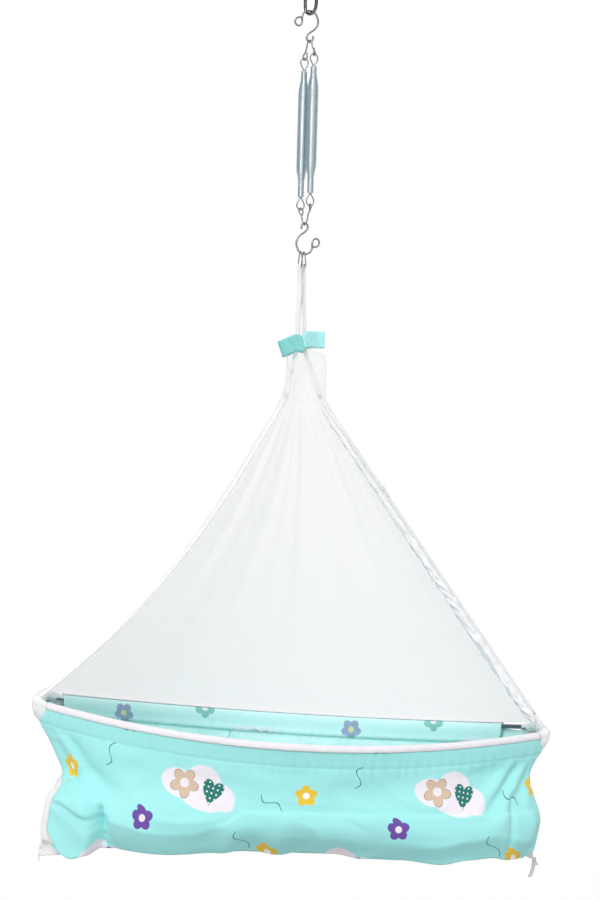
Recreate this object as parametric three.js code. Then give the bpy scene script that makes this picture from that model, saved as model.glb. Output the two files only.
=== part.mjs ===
// A hanging baby cradle: a boat-shaped cloth cradle with a net canopy, which hangs on webbing,
// wire hooks and a pair of extension springs from one chain link.
// Millimetres, +Z up. The origin is where the link is hung. The baby looks along X, and the
// wide opening of the canopy faces -Y.
import * as THREE from 'three';

const CLEARANCE = 0.3;
const WIRE_PLAY = 0.8;
const QUARTER_TURN = Math.PI / 2;

// Finishes
const STEEL_DARK = { color: 0x6e6a66, roughness: 0.3, metalness: 0.95 };
const STEEL_WIRE = { color: 0xb9b8b4, roughness: 0.3, metalness: 0.95 };
const ZINC = { color: 0x9fb0b8, roughness: 0.38, metalness: 0.85 };
const ROD_STEEL = { color: 0x8b8f96, roughness: 0.4, metalness: 0.8 };
const CORNER_PLASTIC = { color: 0xf0f0ee, roughness: 0.6, metalness: 0 };
const WHITE_WEBBING = { color: 0xf4f4f2, roughness: 0.9, metalness: 0 };
const WHITE_NET = { color: 0xf2f4f5, roughness: 0.95, metalness: 0 };
const WHITE_COTTON = { color: 0xeef0ee, roughness: 0.9, metalness: 0 };
const AQUA_COTTON = { color: 0x93efeb, roughness: 0.9, metalness: 0 };
const AQUA_BAND = { color: 0x84e4dc, roughness: 0.85, metalness: 0 };
const HOOK_TAPE = { color: 0xdfe8e6, roughness: 0.95, metalness: 0 };

// The ways that the flat wire pieces face, turned about Z from the XZ plane
const LINK_YAW = THREE.MathUtils.degToRad(-50);
const HOOK_YAW = THREE.MathUtils.degToRad(30);
const YOKE_YAW = THREE.MathUtils.degToRad(-45);
const EYE_YAW = THREE.MathUtils.degToRad(30);
const LOOP_YAW = HOOK_YAW - QUARTER_TURN;

// Top link
const LINK_WIRE = 6;
const LINK_WIDTH = 36;
const LINK_LENGTH = 54;

// The two hooks, alike: the drop is from the middle of one bow's wire to the other's
const HOOK_WIRE = 3;
const HOOK_REACH = 16;
const HOOK_DROP = 56;

// The two yokes: a bent V of wire with a small hook at the end of each leg
const YOKE_WIRE = 2.5;
const UPPER_LEG = 29;
const LOWER_LEG = 37;
const LEG_STEP = 6;
const LEG_HOOK_RADIUS = 3.2;
const LEG_HOOK_RETURN = 14;
const YOKE_BEND = 3;

// Spring eyes
const EYE_WIRE = 2.2;
const EYE_HALF_WIDTH = 8;
const EYE_DROP = 22;
const EYE_SHANK = 10;

// Springs
const SPRING_SPACING = 24;
const SPRING_LENGTH = 229;
const SPRING_WIRE = 4;
const SPRING_OUTER = 19.5;
const SPRING_UPPER_TAPER = 37;
const SPRING_LOWER_TAPER = 52;
const SPRING_CURLS = 28;
const CURL_STEPS = 8;
const CURL_SIDES = 5;

// Wire loops at the top of the cradle's webbing
const LOOP_WIRE = 2;
const LOOP_WIDTH = 16;
const LOOP_HEIGHT = 26;
const LOOP_SPACING = 6.8;
const LOOP_PLAY = 1.2;

// Webbing
const STRAP_WIDTH = 10;
const STRAP_THICK = 1.6;

// Band that ties the gathered neck
const BAND_TOP = -616;
const BAND_HEIGHT = 30;
const BAND_HALF_LENGTH = 43;
const BAND_HALF_DEPTH = 16.5;
const BAND_DROOP = 16;
const BAND_THICK = 1.6;
const PATCH_SIZE = 22;
const PATCH_THICK = 1;
const PATCH_LENGTH_SHARE = 0.8;
const PATCH_SET_SHARE = 0.7;

// Neck of the canopy
const NECK_TOP = -624;
const NECK_SHOULDER = -649;
const NECK_BOTTOM = -736;
const NECK_HALF_WIDTH = 31;
const NECK_HALF_DEPTH = 14;
const NECK_SHIFT = 6;
const NECK_FRONT_RISE = 46;
const NECK_ROOM = 8;
const NECK_SQUARE_SHARE = 1 / 3;
const NECK_TUCK = 3;

// Canopy
const NET_THICK = 1.4;
const LEFT_EDGE_SLACK_SHARE = 0.3;
const NET_FOLD_DEPTH = 7;
const NET_FOLDS = 5;
const NET_SIDE_GAP = 6.5;
const ROLL_DIAMETER = 16;
const ROLL_START_SHARE = 0.08;
const ROLL_END_SHARE = 0.96;
const ZIP_WIDTH = 8;
const ZIP_THICK = 1;
const ZIP_START_SHARE = 0.1;
const ZIP_END_SHARE = 0.95;
const ZIP_PLACE_SHARE = 0.276;
const SLIDER_LENGTH = 10;
const SLIDER_WIDTH = 7;
const SLIDER_THICK = 3;
const PULL_LENGTH = 16;
const PULL_WIDTH = 4;

// Rim
const RIM_Z = -1308;
const RIM_HALF_LENGTH = 452;
const RIM_HALF_WIDTH = 225;
const END_HALF_WIDTH = 60;
const ROD_SAG = 29;
const RIM_TILT = 16;
const ROD_DIAMETER = 8;
const CORNER_LEG = 18;
const CORNER_DIAMETER = 14;
const BINDING_THICK = 1.2;

// Cloth body
const CLOTH = 1.6;
const POCKET_ROOM = 0.8;
const POCKET_DEPTH = 32;
const POCKET_END_SHARE = 0.92;
const BODY_DEPTH = 215;
const BASE_HALF_LENGTH = 426;
const BASE_HALF_WIDTH = 188;
const BASE_END_HALF_WIDTH = 105;
const CORNER_POWER = 5;
const WAIST = 30;
const WAIST_SHARE = 0.38;
const BELLY_SHARE = 0.74;
const BELLY_SPREAD_SHARE = 0.32;
const WALL_CORNER_SHARE = 0.3;
const SIDE_BELLY = 24;
const END_BELLY = 8;
const PINCH_DEPTH = 12;
const PINCH_WIDTH = 26;
const SEAM_GAP = 2;
const END_TOP_GAP = 3;
const END_TAIL = 20;
const TAIL_WIDTH_SHARE = 0.5;
const END_PLACES = 3;

// Mattress and bolster
const MATTRESS_THICK = 84;
const MATTRESS_EDGE = 16;
const MATTRESS_ROOM = 4;
const MATTRESS_ROWS = 10;
const BOLSTER_RADIUS = 57;
const BOLSTER_GAP = 8;
const BOLSTER_HALF_LENGTH = 130;
const BOLSTER_DIMPLE = 8;
const BOLSTER_ROUND_POWER = 0.6;
const BOLSTER_GATHER_SHARE = 0.12;
const CROWN_POWER = 4;

// Ties at the two lower corners
const CORD_DIAMETER = 2;
const TIE_WIDTH = 7;
const TIE_THICK = 1.2;
const TIE_LENGTH = 34;
const TIE_SHORT_SHARE = 0.4;
const TIE_SET = 46;
const TIE_LEAN = 5;

const object = new THREE.Group();

function add(name, geometry, finish) {
  const mesh = new THREE.Mesh(geometry, new THREE.MeshStandardMaterial(finish));
  mesh.name = name;
  object.add(mesh);
  return mesh;
}

// A place in an upright plane through the hanging line, turned about Z by the yaw
function upright(yaw, along = 0) {
  const x = Math.cos(yaw);
  const y = Math.sin(yaw);
  return (across, up) => new THREE.Vector3(x * across - y * along, y * across + x * along, up);
}

function polygon(diameter, sides) {
  const points = [];
  for (let i = 0; i < sides; i++) {
    const turn = (2 * Math.PI * i) / sides;
    points.push(new THREE.Vector2((diameter / 2) * Math.cos(turn), (diameter / 2) * Math.sin(turn)));
  }
  return new THREE.Shape(points);
}

// A round bar that follows the points, with flat ends
function wire(points, diameter, steps, sides = 6) {
  const extrudePath = new THREE.CatmullRomCurve3(points, false, 'centripetal');
  return new THREE.ExtrudeGeometry(polygon(diameter, sides), { steps, extrudePath, bevelEnabled: false });
}

// A closed oval of round bar, given by the width and height of its middle line
function ovalLink(place, middle, width, height, diameter, steps, sides = 6) {
  const points = [];
  const arcs = 6;
  const radius = width / 2;
  const straight = (height - width) / 2;
  for (const half of [1, -1]) {
    for (let i = 0; i <= arcs; i++) {
      const turn = (Math.PI * i) / arcs;
      const across = half * radius * Math.cos(turn);
      points.push(place(across, middle + half * (straight + radius * Math.sin(turn))));
    }
  }
  const path = new THREE.CatmullRomCurve3(points, true, 'centripetal');
  return new THREE.TubeGeometry(path, steps, diameter / 2, sides, true);
}

// A sheet of even or varying thickness on a grid of rows of points. A closed sheet joins the
// last place in each row to the first. A fixed normal makes the thickness run one way only.
function sheet(rows, thickness, { closed = false, normal = null } = {}) {
  const down = rows.length;
  const across = rows[0].length;
  const thick = typeof thickness === 'function' ? thickness : () => thickness;
  const at = (i, j) => {
    const row = rows[Math.min(Math.max(i, 0), down - 1)];
    return closed ? row[(j + across) % across] : row[Math.min(Math.max(j, 0), across - 1)];
  };
  const positions = [];
  for (const side of [1, -1]) {
    for (let i = 0; i < down; i++) {
      for (let j = 0; j < across; j++) {
        const along = at(i, j + 1).clone().sub(at(i, j - 1));
        const fall = at(i + 1, j).clone().sub(at(i - 1, j));
        const out = normal ? normal.clone() : along.cross(fall).normalize();
        const point = rows[i][j].clone().addScaledVector(out, (side * thick(i, j)) / 2);
        positions.push(point.x, point.y, point.z);
      }
    }
  }
  const index = [];
  const layer = down * across;
  const quad = (a, b, c, d) => index.push(a, b, c, a, c, d);
  const last = closed ? across : across - 1;
  for (let i = 0; i < down - 1; i++) {
    for (let j = 0; j < last; j++) {
      const next = (j + 1) % across;
      const a = i * across + j;
      const b = i * across + next;
      const c = (i + 1) * across + next;
      const d = (i + 1) * across + j;
      quad(a, b, c, d);
      quad(layer + d, layer + c, layer + b, layer + a);
    }
  }
  for (let j = 0; j < last; j++) {
    const next = (j + 1) % across;
    quad(next, j, layer + j, layer + next);
    const foot = (down - 1) * across;
    quad(foot + j, foot + next, layer + foot + next, layer + foot + j);
  }
  if (!closed) {
    for (let i = 0; i < down - 1; i++) {
      const left = i * across;
      const right = left + across - 1;
      quad(left, left + across, layer + left + across, layer + left);
      quad(right + across, right, layer + right, layer + right + across);
    }
  }
  const geometry = new THREE.BufferGeometry();
  geometry.setAttribute('position', new THREE.Float32BufferAttribute(positions, 3));
  geometry.setIndex(index);
  geometry.computeVertexNormals();
  return geometry;
}

// A flat strap along a middle line: each entry gives a place and the direction of its width
function ribbon(places, width, thick) {
  const rows = places.map(({ point, across }) => {
    const half = across.clone().normalize().multiplyScalar(width / 2);
    return [point.clone().sub(half), point.clone().add(half)];
  });
  return sheet(rows, thick);
}

function grid(down, across, pointAt) {
  const rows = [];
  for (let i = 0; i <= down; i++) {
    const row = [];
    for (let j = 0; j <= across; j++) row.push(pointAt(i / down, j / across));
    rows.push(row);
  }
  return rows;
}

const mix = THREE.MathUtils.lerp;

function bump(at, middle, spread) {
  return Math.exp(-(((at - middle) / spread) ** 2));
}

// Heights down the chain, each from the piece above it
const linkMiddle = LINK_WIRE / 2 + LINK_WIRE / 2 - LINK_LENGTH / 2;
const linkFoot = LINK_WIRE - LINK_LENGTH + LINK_WIRE / 2;
const hookTop = linkFoot + LINK_WIRE / 2 + HOOK_WIRE / 2 + WIRE_PLAY;
const hookFoot = hookTop - HOOK_DROP;
const hookToYoke = HOOK_WIRE / 2 + YOKE_WIRE / 2 + WIRE_PLAY;
const yokeToEye = YOKE_WIRE / 2 + EYE_WIRE / 2 + WIRE_PLAY;
const upperYokeApex = hookFoot + hookToYoke;
const upperEyeTop = upperYokeApex - UPPER_LEG + yokeToEye;
const springTop = upperEyeTop - EYE_DROP;
const springFoot = springTop - SPRING_LENGTH;
const lowerEyeFoot = springFoot - EYE_DROP;
const lowerYokeApex = lowerEyeFoot + yokeToEye - LOWER_LEG;
const lowerHookTop = lowerYokeApex + hookToYoke;
const lowerHookFoot = lowerHookTop - HOOK_DROP;
const loopTop = lowerHookFoot + HOOK_WIRE / 2 + LOOP_WIRE / 2 + LOOP_PLAY;
const loopFoot = loopTop - LOOP_HEIGHT + LOOP_WIRE;

// Top link
function topLink() {
  const width = LINK_WIDTH - LINK_WIRE;
  const height = LINK_LENGTH - LINK_WIRE;
  return ovalLink(upright(LINK_YAW), linkMiddle, width, height, LINK_WIRE, 20, 8);
}
add('top_link', topLink(), STEEL_DARK);

// A hook is an S of wire: a curled eye, the large bow, and the small bow at the other end. Each
// pair is a share of the reach across and of the drop down.
const hookShares = [
  [-1.16, -0.118], [-1.5, -0.1], [-1.86, -0.2], [-1.78, -0.35], [-1.42, -0.44], [-1.08, -0.34],
  [-0.97, -0.17], [-0.77, -0.054], [-0.39, -0.01], [0, 0], [0.47, -0.036], [0.84, -0.16],
  [1, -0.357], [0.66, -0.554], [-0.125, -0.732], [-0.41, -0.848], [-0.31, -0.955], [0, -1],
  [0.31, -0.95], [0.41, -0.8],
];
const HOOK_STEPS = 32;

// The upper hook's large bow is on top. The lower hook is the same piece turned upside down.
function hook(top, turned) {
  const place = upright(HOOK_YAW);
  const points = hookShares.map(([across, up]) => {
    const high = turned ? top - HOOK_DROP * (1 + up) : top + HOOK_DROP * up;
    return place((turned ? -1 : 1) * across * HOOK_REACH, high);
  });
  return wire(points, HOOK_WIRE, HOOK_STEPS);
}
add('upper_hook', hook(hookTop, false), STEEL_WIRE);
add('lower_hook', hook(lowerHookTop, true), STEEL_WIRE);

// Shares that shape a yoke's leg: the drop of its shoulder, and where its knee stands
const SHOULDER_SHARE = 0.62;
const kneeShares = [0.7, 0.5];
const YOKE_STEPS = 32;

// One leg of a yoke, from the apex to the tip of its end hook
function yokeLeg(side, leg) {
  const end = SPRING_SPACING / 2;
  const radius = LEG_HOOK_RADIUS;
  return [
    [side * YOKE_BEND, -YOKE_BEND * SHOULDER_SHARE],
    [side * (end - radius) * kneeShares[0], -leg * kneeShares[1]],
    [side * (end - radius), radius - leg],
    [side * end, -leg],
    [side * (end + radius), radius - leg],
    [side * (end + radius), LEG_HOOK_RETURN - leg],
  ];
}

// A yoke with its legs down (upper) or up (lower). The right spring sits higher by the leg step.
function yoke(apex, upper, rightLeg) {
  const leftLeg = rightLeg + (upper ? LEG_STEP : -LEG_STEP);
  const outline = [...yokeLeg(-1, leftLeg).reverse(), [0, 0], ...yokeLeg(1, rightLeg)];
  const place = upright(YOKE_YAW);
  const points = outline.map(([across, up]) => place(across, apex + (upper ? up : -up)));
  return wire(points, YOKE_WIRE, YOKE_STEPS);
}
add('upper_yoke', yoke(upperYokeApex, true, UPPER_LEG), STEEL_WIRE);
add('lower_yoke', yoke(lowerYokeApex, false, LOWER_LEG), STEEL_WIRE);

// A spring eye: a straight shank held in the spring's narrow end, and a drop-shaped loop. The
// shares are of the loop's half width and of the drop from its far side to the spring.
const eyeShares = [
  [0.05, -0.86], [0.62, -0.68], [1, -0.43], [0.69, -0.11], [0, 0], [-0.69, -0.11], [-1, -0.43],
  [-0.66, -0.66], [-0.46, -0.76],
];

function springEye(side, top, up) {
  const middle = upright(YOKE_YAW)((side * SPRING_SPACING) / 2, 0);
  const place = upright(EYE_YAW);
  const step = side < 0 ? -LEG_STEP : 0;
  const shank = [[0, -EYE_DROP - EYE_SHANK], [0, -EYE_DROP]];
  const loop = eyeShares.map(([across, down]) => [across * EYE_HALF_WIDTH, down * EYE_DROP]);
  const points = [...shank, ...loop].map(([across, down]) =>
    place(across, top + step + up * down).add(new THREE.Vector3(middle.x, middle.y, 0)));
  return wire(points, EYE_WIRE, 20);
}

// A close spring with tapered ends, one tube of five sides along a helix
function spring(side) {
  const middle = upright(YOKE_YAW)((side * SPRING_SPACING) / 2, 0);
  const top = springTop + (side < 0 ? -LEG_STEP : 0);
  const wide = (SPRING_OUTER - SPRING_WIRE) / 2;
  const narrow = EYE_WIRE / 2 + CLEARANCE + SPRING_WIRE / 2;
  const steps = SPRING_CURLS * CURL_STEPS;
  const travel = SPRING_LENGTH - SPRING_WIRE;
  const centres = [];
  for (let i = 0; i <= steps; i++) {
    const fall = (travel * i) / steps;
    const fromTop = Math.min(fall / SPRING_UPPER_TAPER, 1);
    const fromFoot = Math.min((travel - fall) / SPRING_LOWER_TAPER, 1);
    const open = THREE.MathUtils.smoothstep(Math.min(fromTop, fromFoot), 0, 1);
    const radius = mix(narrow, wide, open);
    const turn = (2 * Math.PI * i) / CURL_STEPS;
    centres.push(new THREE.Vector3(
      middle.x + radius * Math.cos(turn),
      middle.y + radius * Math.sin(turn),
      top - SPRING_WIRE / 2 - fall,
    ));
  }
  const positions = [];
  const index = [];
  const up = new THREE.Vector3(0, 0, 1);
  centres.forEach((centre, i) => {
    const ahead = centres[Math.min(i + 1, steps)].clone().sub(centres[Math.max(i - 1, 0)]).normalize();
    const out = new THREE.Vector3().crossVectors(ahead, up).normalize();
    const rise = new THREE.Vector3().crossVectors(out, ahead);
    for (let k = 0; k < CURL_SIDES; k++) {
      const turn = (2 * Math.PI * k) / CURL_SIDES;
      const point = centre.clone()
        .addScaledVector(out, (SPRING_WIRE / 2) * Math.cos(turn))
        .addScaledVector(rise, (SPRING_WIRE / 2) * Math.sin(turn));
      positions.push(point.x, point.y, point.z);
    }
  });
  for (let i = 0; i < steps; i++) {
    for (let k = 0; k < CURL_SIDES; k++) {
      const next = (k + 1) % CURL_SIDES;
      const a = i * CURL_SIDES + k;
      const b = i * CURL_SIDES + next;
      index.push(a, b + CURL_SIDES, b, a, a + CURL_SIDES, b + CURL_SIDES);
    }
  }
  const tail = steps * CURL_SIDES;
  for (let k = 1; k < CURL_SIDES - 1; k++) {
    index.push(0, k, k + 1);
    index.push(tail, tail + k + 1, tail + k);
  }
  const geometry = new THREE.BufferGeometry();
  geometry.setAttribute('position', new THREE.Float32BufferAttribute(positions, 3));
  geometry.setIndex(index);
  geometry.computeVertexNormals();
  return { geometry, centres };
}

// The least gap between a spring's turns, measured on points half a turn or more apart
function leastGap(centres, diameter, apart) {
  let least = Infinity;
  centres.forEach((point, i) => {
    for (let j = i + apart; j < centres.length; j++) {
      least = Math.min(least, point.distanceTo(centres[j]) - diameter);
    }
  });
  return least;
}

for (const [side, name] of [[-1, 'left'], [1, 'right']]) {
  const { geometry, centres } = spring(side);
  add(`spring_${name}`, geometry, ZINC);
  add(`upper_eye_${name}`, springEye(side, upperEyeTop, 1), STEEL_WIRE);
  add(`lower_eye_${name}`, springEye(side, lowerEyeFoot, -1), STEEL_WIRE);
  const gap = leastGap(centres, SPRING_WIRE, CURL_STEPS / 2);
  console.log(`spring_${name} least gap to itself ${gap.toFixed(2)} mm`);
}

// Two wire loops side by side on the lower hook's large bow
const loopSides = [[-1, 'left'], [1, 'right']];

// Shares of a triangle loop's half width and height, from the top round the right to the left
const loopShares = [
  [0, 1], [0.4, 0.94], [0.74, 0.55], [1, 0.14], [0.93, 0], [0, 0], [-0.93, 0], [-1, 0.14],
  [-0.74, 0.55], [-0.4, 0.94],
];

function wireLoop(side) {
  const place = upright(LOOP_YAW, (side * LOOP_SPACING) / 2);
  const half = (LOOP_WIDTH - LOOP_WIRE) / 2;
  const height = loopTop - loopFoot;
  const points = loopShares.map(([across, up]) => place(across * half, loopFoot + up * height));
  const path = new THREE.CatmullRomCurve3(points, true, 'centripetal');
  return new THREE.TubeGeometry(path, 20, LOOP_WIRE / 2, 6, true);
}
for (const [side, name] of loopSides) add(`wire_loop_${name}`, wireLoop(side), STEEL_WIRE);

const baseZ = RIM_Z - BODY_DEPTH;

// Height of the rim's end corners: the left end hangs higher than the right
function cornerHeight(end) {
  return RIM_Z - end * RIM_TILT;
}

// The middle of a rim rod, from the left end (-1) to the right end (1)
function rimPoint(side, along) {
  const bow = 1 - along * along;
  return new THREE.Vector3(
    along * RIM_HALF_LENGTH,
    side * (END_HALF_WIDTH + (RIM_HALF_WIDTH - END_HALF_WIDTH) * bow),
    RIM_Z - ROD_SAG * bow - RIM_TILT * along,
  );
}

// The level direction that points out of the cradle, square to the rod
function rimOut(side, along) {
  const slope = (2 * along * (RIM_HALF_WIDTH - END_HALF_WIDTH)) / RIM_HALF_LENGTH;
  return new THREE.Vector3(slope, side, 0).normalize();
}

// An edge of the canopy from the neck (0) down to a corner of the rim (1)
const cornerTop = CORNER_DIAMETER / 2 + 2 * CLEARANCE;

function edgePoint(side, end, down) {
  const start = NECK_HALF_WIDTH + end * NECK_SHIFT;
  const slack = end < 0 ? LEFT_EDGE_SLACK_SHARE * (1 - down * down) : 0;
  const share = down * (1 - slack);
  return new THREE.Vector3(
    end * mix(start, RIM_HALF_LENGTH, share),
    side * mix(NECK_HALF_DEPTH, END_HALF_WIDTH, down),
    mix(NECK_BOTTOM, cornerHeight(end) + cornerTop, down),
  );
}

const corners = [
  [-1, -1, 'front_left'], [-1, 1, 'front_right'], [1, -1, 'back_left'], [1, 1, 'back_right'],
];

// The webbing along a canopy edge lies across the corner
function edgeAcross(side, end) {
  return new THREE.Vector3(end, -side, 0).normalize();
}

const EDGE_ROWS = 12;

function edgeStrap(side, end) {
  const places = [];
  for (let i = 0; i <= EDGE_ROWS; i++) {
    places.push({ point: edgePoint(side, end, i / EDGE_ROWS), across: edgeAcross(side, end) });
  }
  return ribbon(places, STRAP_WIDTH, STRAP_THICK);
}
for (const [side, end, name] of corners) add(`edge_strap_${name}`, edgeStrap(side, end), WHITE_WEBBING);

// A hanging strap is doubled over the foot of its wire loop, and its two legs go down to the
// edge straps inside the neck
const strapTop = loopFoot + LOOP_WIRE / 2 + CLEARANCE + STRAP_THICK / 2;
const legOffset = LOOP_WIRE / 2 + CLEARANCE + STRAP_THICK / 2;
const gatherShares = [0.16, 0.22];

function hangingStrap(end) {
  const loopLine = upright(HOOK_YAW);
  const middle = (end * LOOP_SPACING) / 2;
  const across = upright(LOOP_YAW)(1, 0);
  const turned = new THREE.Vector3(-1, -1, 0).normalize();
  const leg = (offset, side) => {
    const foot = edgePoint(side, end, 0);
    const gathered = new THREE.Vector3(
      foot.x * gatherShares[0],
      foot.y * gatherShares[1],
      BAND_TOP - BAND_HEIGHT,
    );
    const last = side * end < 0 ? turned : edgeAcross(side, end);
    const high = loopLine(middle + offset, strapTop - legOffset);
    const places = [{ point: high, across }, { point: gathered, across }];
    const rows = 6;
    for (let i = 1; i <= rows; i++) {
      const down = i / rows;
      const point = gathered.clone().lerp(foot, down);
      point.z = mix(gathered.z, foot.z + CLEARANCE, down);
      places.push({ point, across: across.clone().lerp(last, down) });
    }
    return places;
  };
  const outer = leg(end * legOffset, end < 0 ? -1 : 1);
  const inner = leg(-end * legOffset, end < 0 ? 1 : -1);
  const bend = [];
  const arcs = 4;
  for (let i = 1; i < arcs; i++) {
    const turn = (Math.PI * i) / arcs;
    const place = loopLine(middle + end * legOffset * Math.cos(turn), strapTop - legOffset);
    place.z += legOffset * Math.sin(turn);
    bend.push({ point: place, across });
  }
  return ribbon([...outer.reverse(), ...bend, ...inner], STRAP_WIDTH, STRAP_THICK);
}
for (const [end, name] of loopSides) add(`hanging_strap_${name}`, hangingStrap(end), WHITE_WEBBING);

// The band is one strip folded round the neck. Its front and back layers meet at the right wing,
// where two patches of hook tape hold them, and its folded left wing droops.
const wingHalfGap = PATCH_THICK + BAND_THICK / 2 + CLEARANCE + CLEARANCE / 2;
const bandShares = [
  [0.97, 0], [0.6, 0.25], [0.22, 0.95], [0, 1], [-0.22, 0.98], [-0.62, 0.86], [-0.9, 0.5],
];

function bandHeight(x) {
  const droop = Math.max(-x / BAND_HALF_LENGTH, 0);
  return BAND_TOP - BAND_HEIGHT / 2 - BAND_DROOP * droop;
}

function bandPlace(acrossShare, depthShare, side) {
  const x = acrossShare * BAND_HALF_LENGTH;
  return new THREE.Vector3(x, side * mix(wingHalfGap, BAND_HALF_DEPTH, depthShare), bandHeight(x));
}

function tieBand() {
  const front = bandShares.map(([x, y]) => bandPlace(x, y, -1));
  const back = bandShares.map(([x, y]) => bandPlace(x, y, 1)).reverse();
  const fold = new THREE.Vector3(-BAND_HALF_LENGTH, 0, bandHeight(-BAND_HALF_LENGTH));
  const path = new THREE.CatmullRomCurve3([...front, fold, ...back], false, 'centripetal');
  const across = new THREE.Vector3(0, 0, 1);
  const places = path.getPoints(32).map((point) => ({ point, across }));
  return ribbon(places, BAND_HEIGHT, BAND_THICK);
}
add('tie_band', tieBand(), AQUA_BAND);

// The two patches lie against the inner faces of the right wing
function tapePatch(side) {
  const patch = new THREE.BoxGeometry(PATCH_SIZE * PATCH_LENGTH_SHARE, PATCH_THICK, PATCH_SIZE);
  const x = BAND_HALF_LENGTH - PATCH_SIZE * PATCH_LENGTH_SHARE * PATCH_SET_SHARE;
  const y = side * (CLEARANCE / 2 + PATCH_THICK / 2);
  patch.translate(x, y, BAND_TOP - BAND_HEIGHT / 2);
  return patch;
}
add('hook_tape_patch', tapePatch(-1), HOOK_TAPE);
add('loop_tape_patch', tapePatch(1), HOOK_TAPE);

// The gathered neck of the canopy: a tube of cloth that the band holds, and that flares at once
// below it. Its lower hem overlaps the panels outside, and rises in front over the opening.
const NECK_PLACES = 20;
const NECK_ROWS = 5;
const NECK_FLARE_SHARE = 0.25;
const neckTopRadius = BAND_HALF_DEPTH - BAND_THICK / 2 - CLEARANCE - NET_THICK / 2;

function neck() {
  const row = (flare, heightAt) => {
    const places = [];
    const power = mix(1, NECK_SQUARE_SHARE, flare);
    for (let k = 0; k < NECK_PLACES; k++) {
      const turn = (2 * Math.PI * k) / NECK_PLACES;
      const cos = Math.cos(turn);
      const sin = Math.sin(turn);
      const halfWidth = mix(neckTopRadius, NECK_HALF_WIDTH + NECK_ROOM, flare);
      const halfDepth = mix(neckTopRadius, NECK_HALF_DEPTH + NECK_ROOM, flare);
      places.push(new THREE.Vector3(
        NECK_SHIFT * flare + halfWidth * Math.sign(cos) * Math.abs(cos) ** power,
        halfDepth * Math.sign(sin) * Math.abs(sin) ** power,
        heightAt(Math.max(-sin, 0) ** 2),
      ));
    }
    return places;
  };
  const rows = [row(0, () => NECK_TOP), row(0, () => NECK_SHOULDER)];
  for (let i = 1; i <= NECK_ROWS; i++) {
    const down = i / NECK_ROWS;
    const flare = Math.sqrt(Math.min(down / NECK_FLARE_SHARE, 1));
    const foot = NECK_BOTTOM - NECK_TUCK;
    rows.push(row(flare, (front) => mix(NECK_SHOULDER, foot + NECK_FRONT_RISE * front, down)));
  }
  return sheet(rows, NET_THICK, { closed: true });
}
add('canopy_neck', neck(), WHITE_NET);

// Height of the top of the bound rim above the middle of the rod
const pocketRadius = ROD_DIAMETER / 2 + POCKET_ROOM + CLOTH / 2;
const bindingRadius = pocketRadius + CLOTH / 2 + 2 * CLEARANCE + BINDING_THICK / 2;
const rimTop = bindingRadius + BINDING_THICK / 2 + CLEARANCE;

// The back net is stretched from the neck to the rim, with folds that fan out from the neck
function backNet() {
  const point = (down, across) => {
    const along = 2 * across - 1;
    const left = edgePoint(1, -1, down);
    const right = edgePoint(1, 1, down);
    const bow = (1 - along * along) * down;
    const fold = NET_FOLD_DEPTH * Math.sin(Math.PI * down) * Math.cos(NET_FOLDS * Math.PI * along);
    const foot = rimPoint(1, along).z + rimTop;
    return new THREE.Vector3(
      mix(left.x + NET_SIDE_GAP, right.x - NET_SIDE_GAP, across),
      left.y + (RIM_HALF_WIDTH - END_HALF_WIDTH) * bow + fold * (1 - along * along),
      mix(NECK_BOTTOM, foot, down),
    );
  };
  return sheet(grid(8, 20, point), NET_THICK);
}
add('canopy_back_net', backNet(), WHITE_NET);

// An end net fills the narrow side between two edge straps
function endNet(end) {
  const point = (down, across) => {
    const front = edgePoint(-1, end, down);
    const back = edgePoint(1, end, down);
    return new THREE.Vector3(front.x, mix(front.y + NET_SIDE_GAP, back.y - NET_SIDE_GAP, across), front.z);
  };
  return sheet(grid(9, 2, point), NET_THICK);
}
add('canopy_left_net', endNet(-1), WHITE_NET);
add('canopy_right_net', endNet(1), WHITE_NET);

// The front net is rolled up along the inside of the right edge
const ROLL_STEPS = 12;
const rightEdge = edgePoint(-1, 1, 1).sub(edgePoint(-1, 1, 0)).normalize();

function frontRoll() {
  const across = edgeAcross(-1, 1);
  const square = across.clone().addScaledVector(rightEdge, -across.dot(rightEdge)).normalize();
  const set = across.multiplyScalar(-STRAP_WIDTH / 2);
  set.addScaledVector(square, -(2 * CLEARANCE + ROLL_DIAMETER / 2));
  const points = [];
  for (let i = 0; i <= ROLL_STEPS; i++) {
    const down = mix(ROLL_START_SHARE, ROLL_END_SHARE, i / ROLL_STEPS);
    points.push(edgePoint(-1, 1, down).add(set));
  }
  return wire(points, ROLL_DIAMETER, ROLL_STEPS, 8);
}
add('front_net_roll', frontRoll(), WHITE_NET);

// The zip runs down the outer face of the right front strap, and its slider stands on the tape
const zipOut = new THREE.Vector3().crossVectors(rightEdge, edgeAcross(-1, 1)).normalize();
const zipFace = STRAP_THICK / 2 + CLEARANCE + ZIP_THICK / 2;

function zipTape() {
  const places = [ZIP_START_SHARE, ZIP_END_SHARE].map((down) => ({
    point: edgePoint(-1, 1, down).addScaledVector(zipOut, zipFace),
    across: edgeAcross(-1, 1),
  }));
  return ribbon(places, ZIP_WIDTH, ZIP_THICK);
}
add('zip_tape', zipTape(), WHITE_COTTON);

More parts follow.
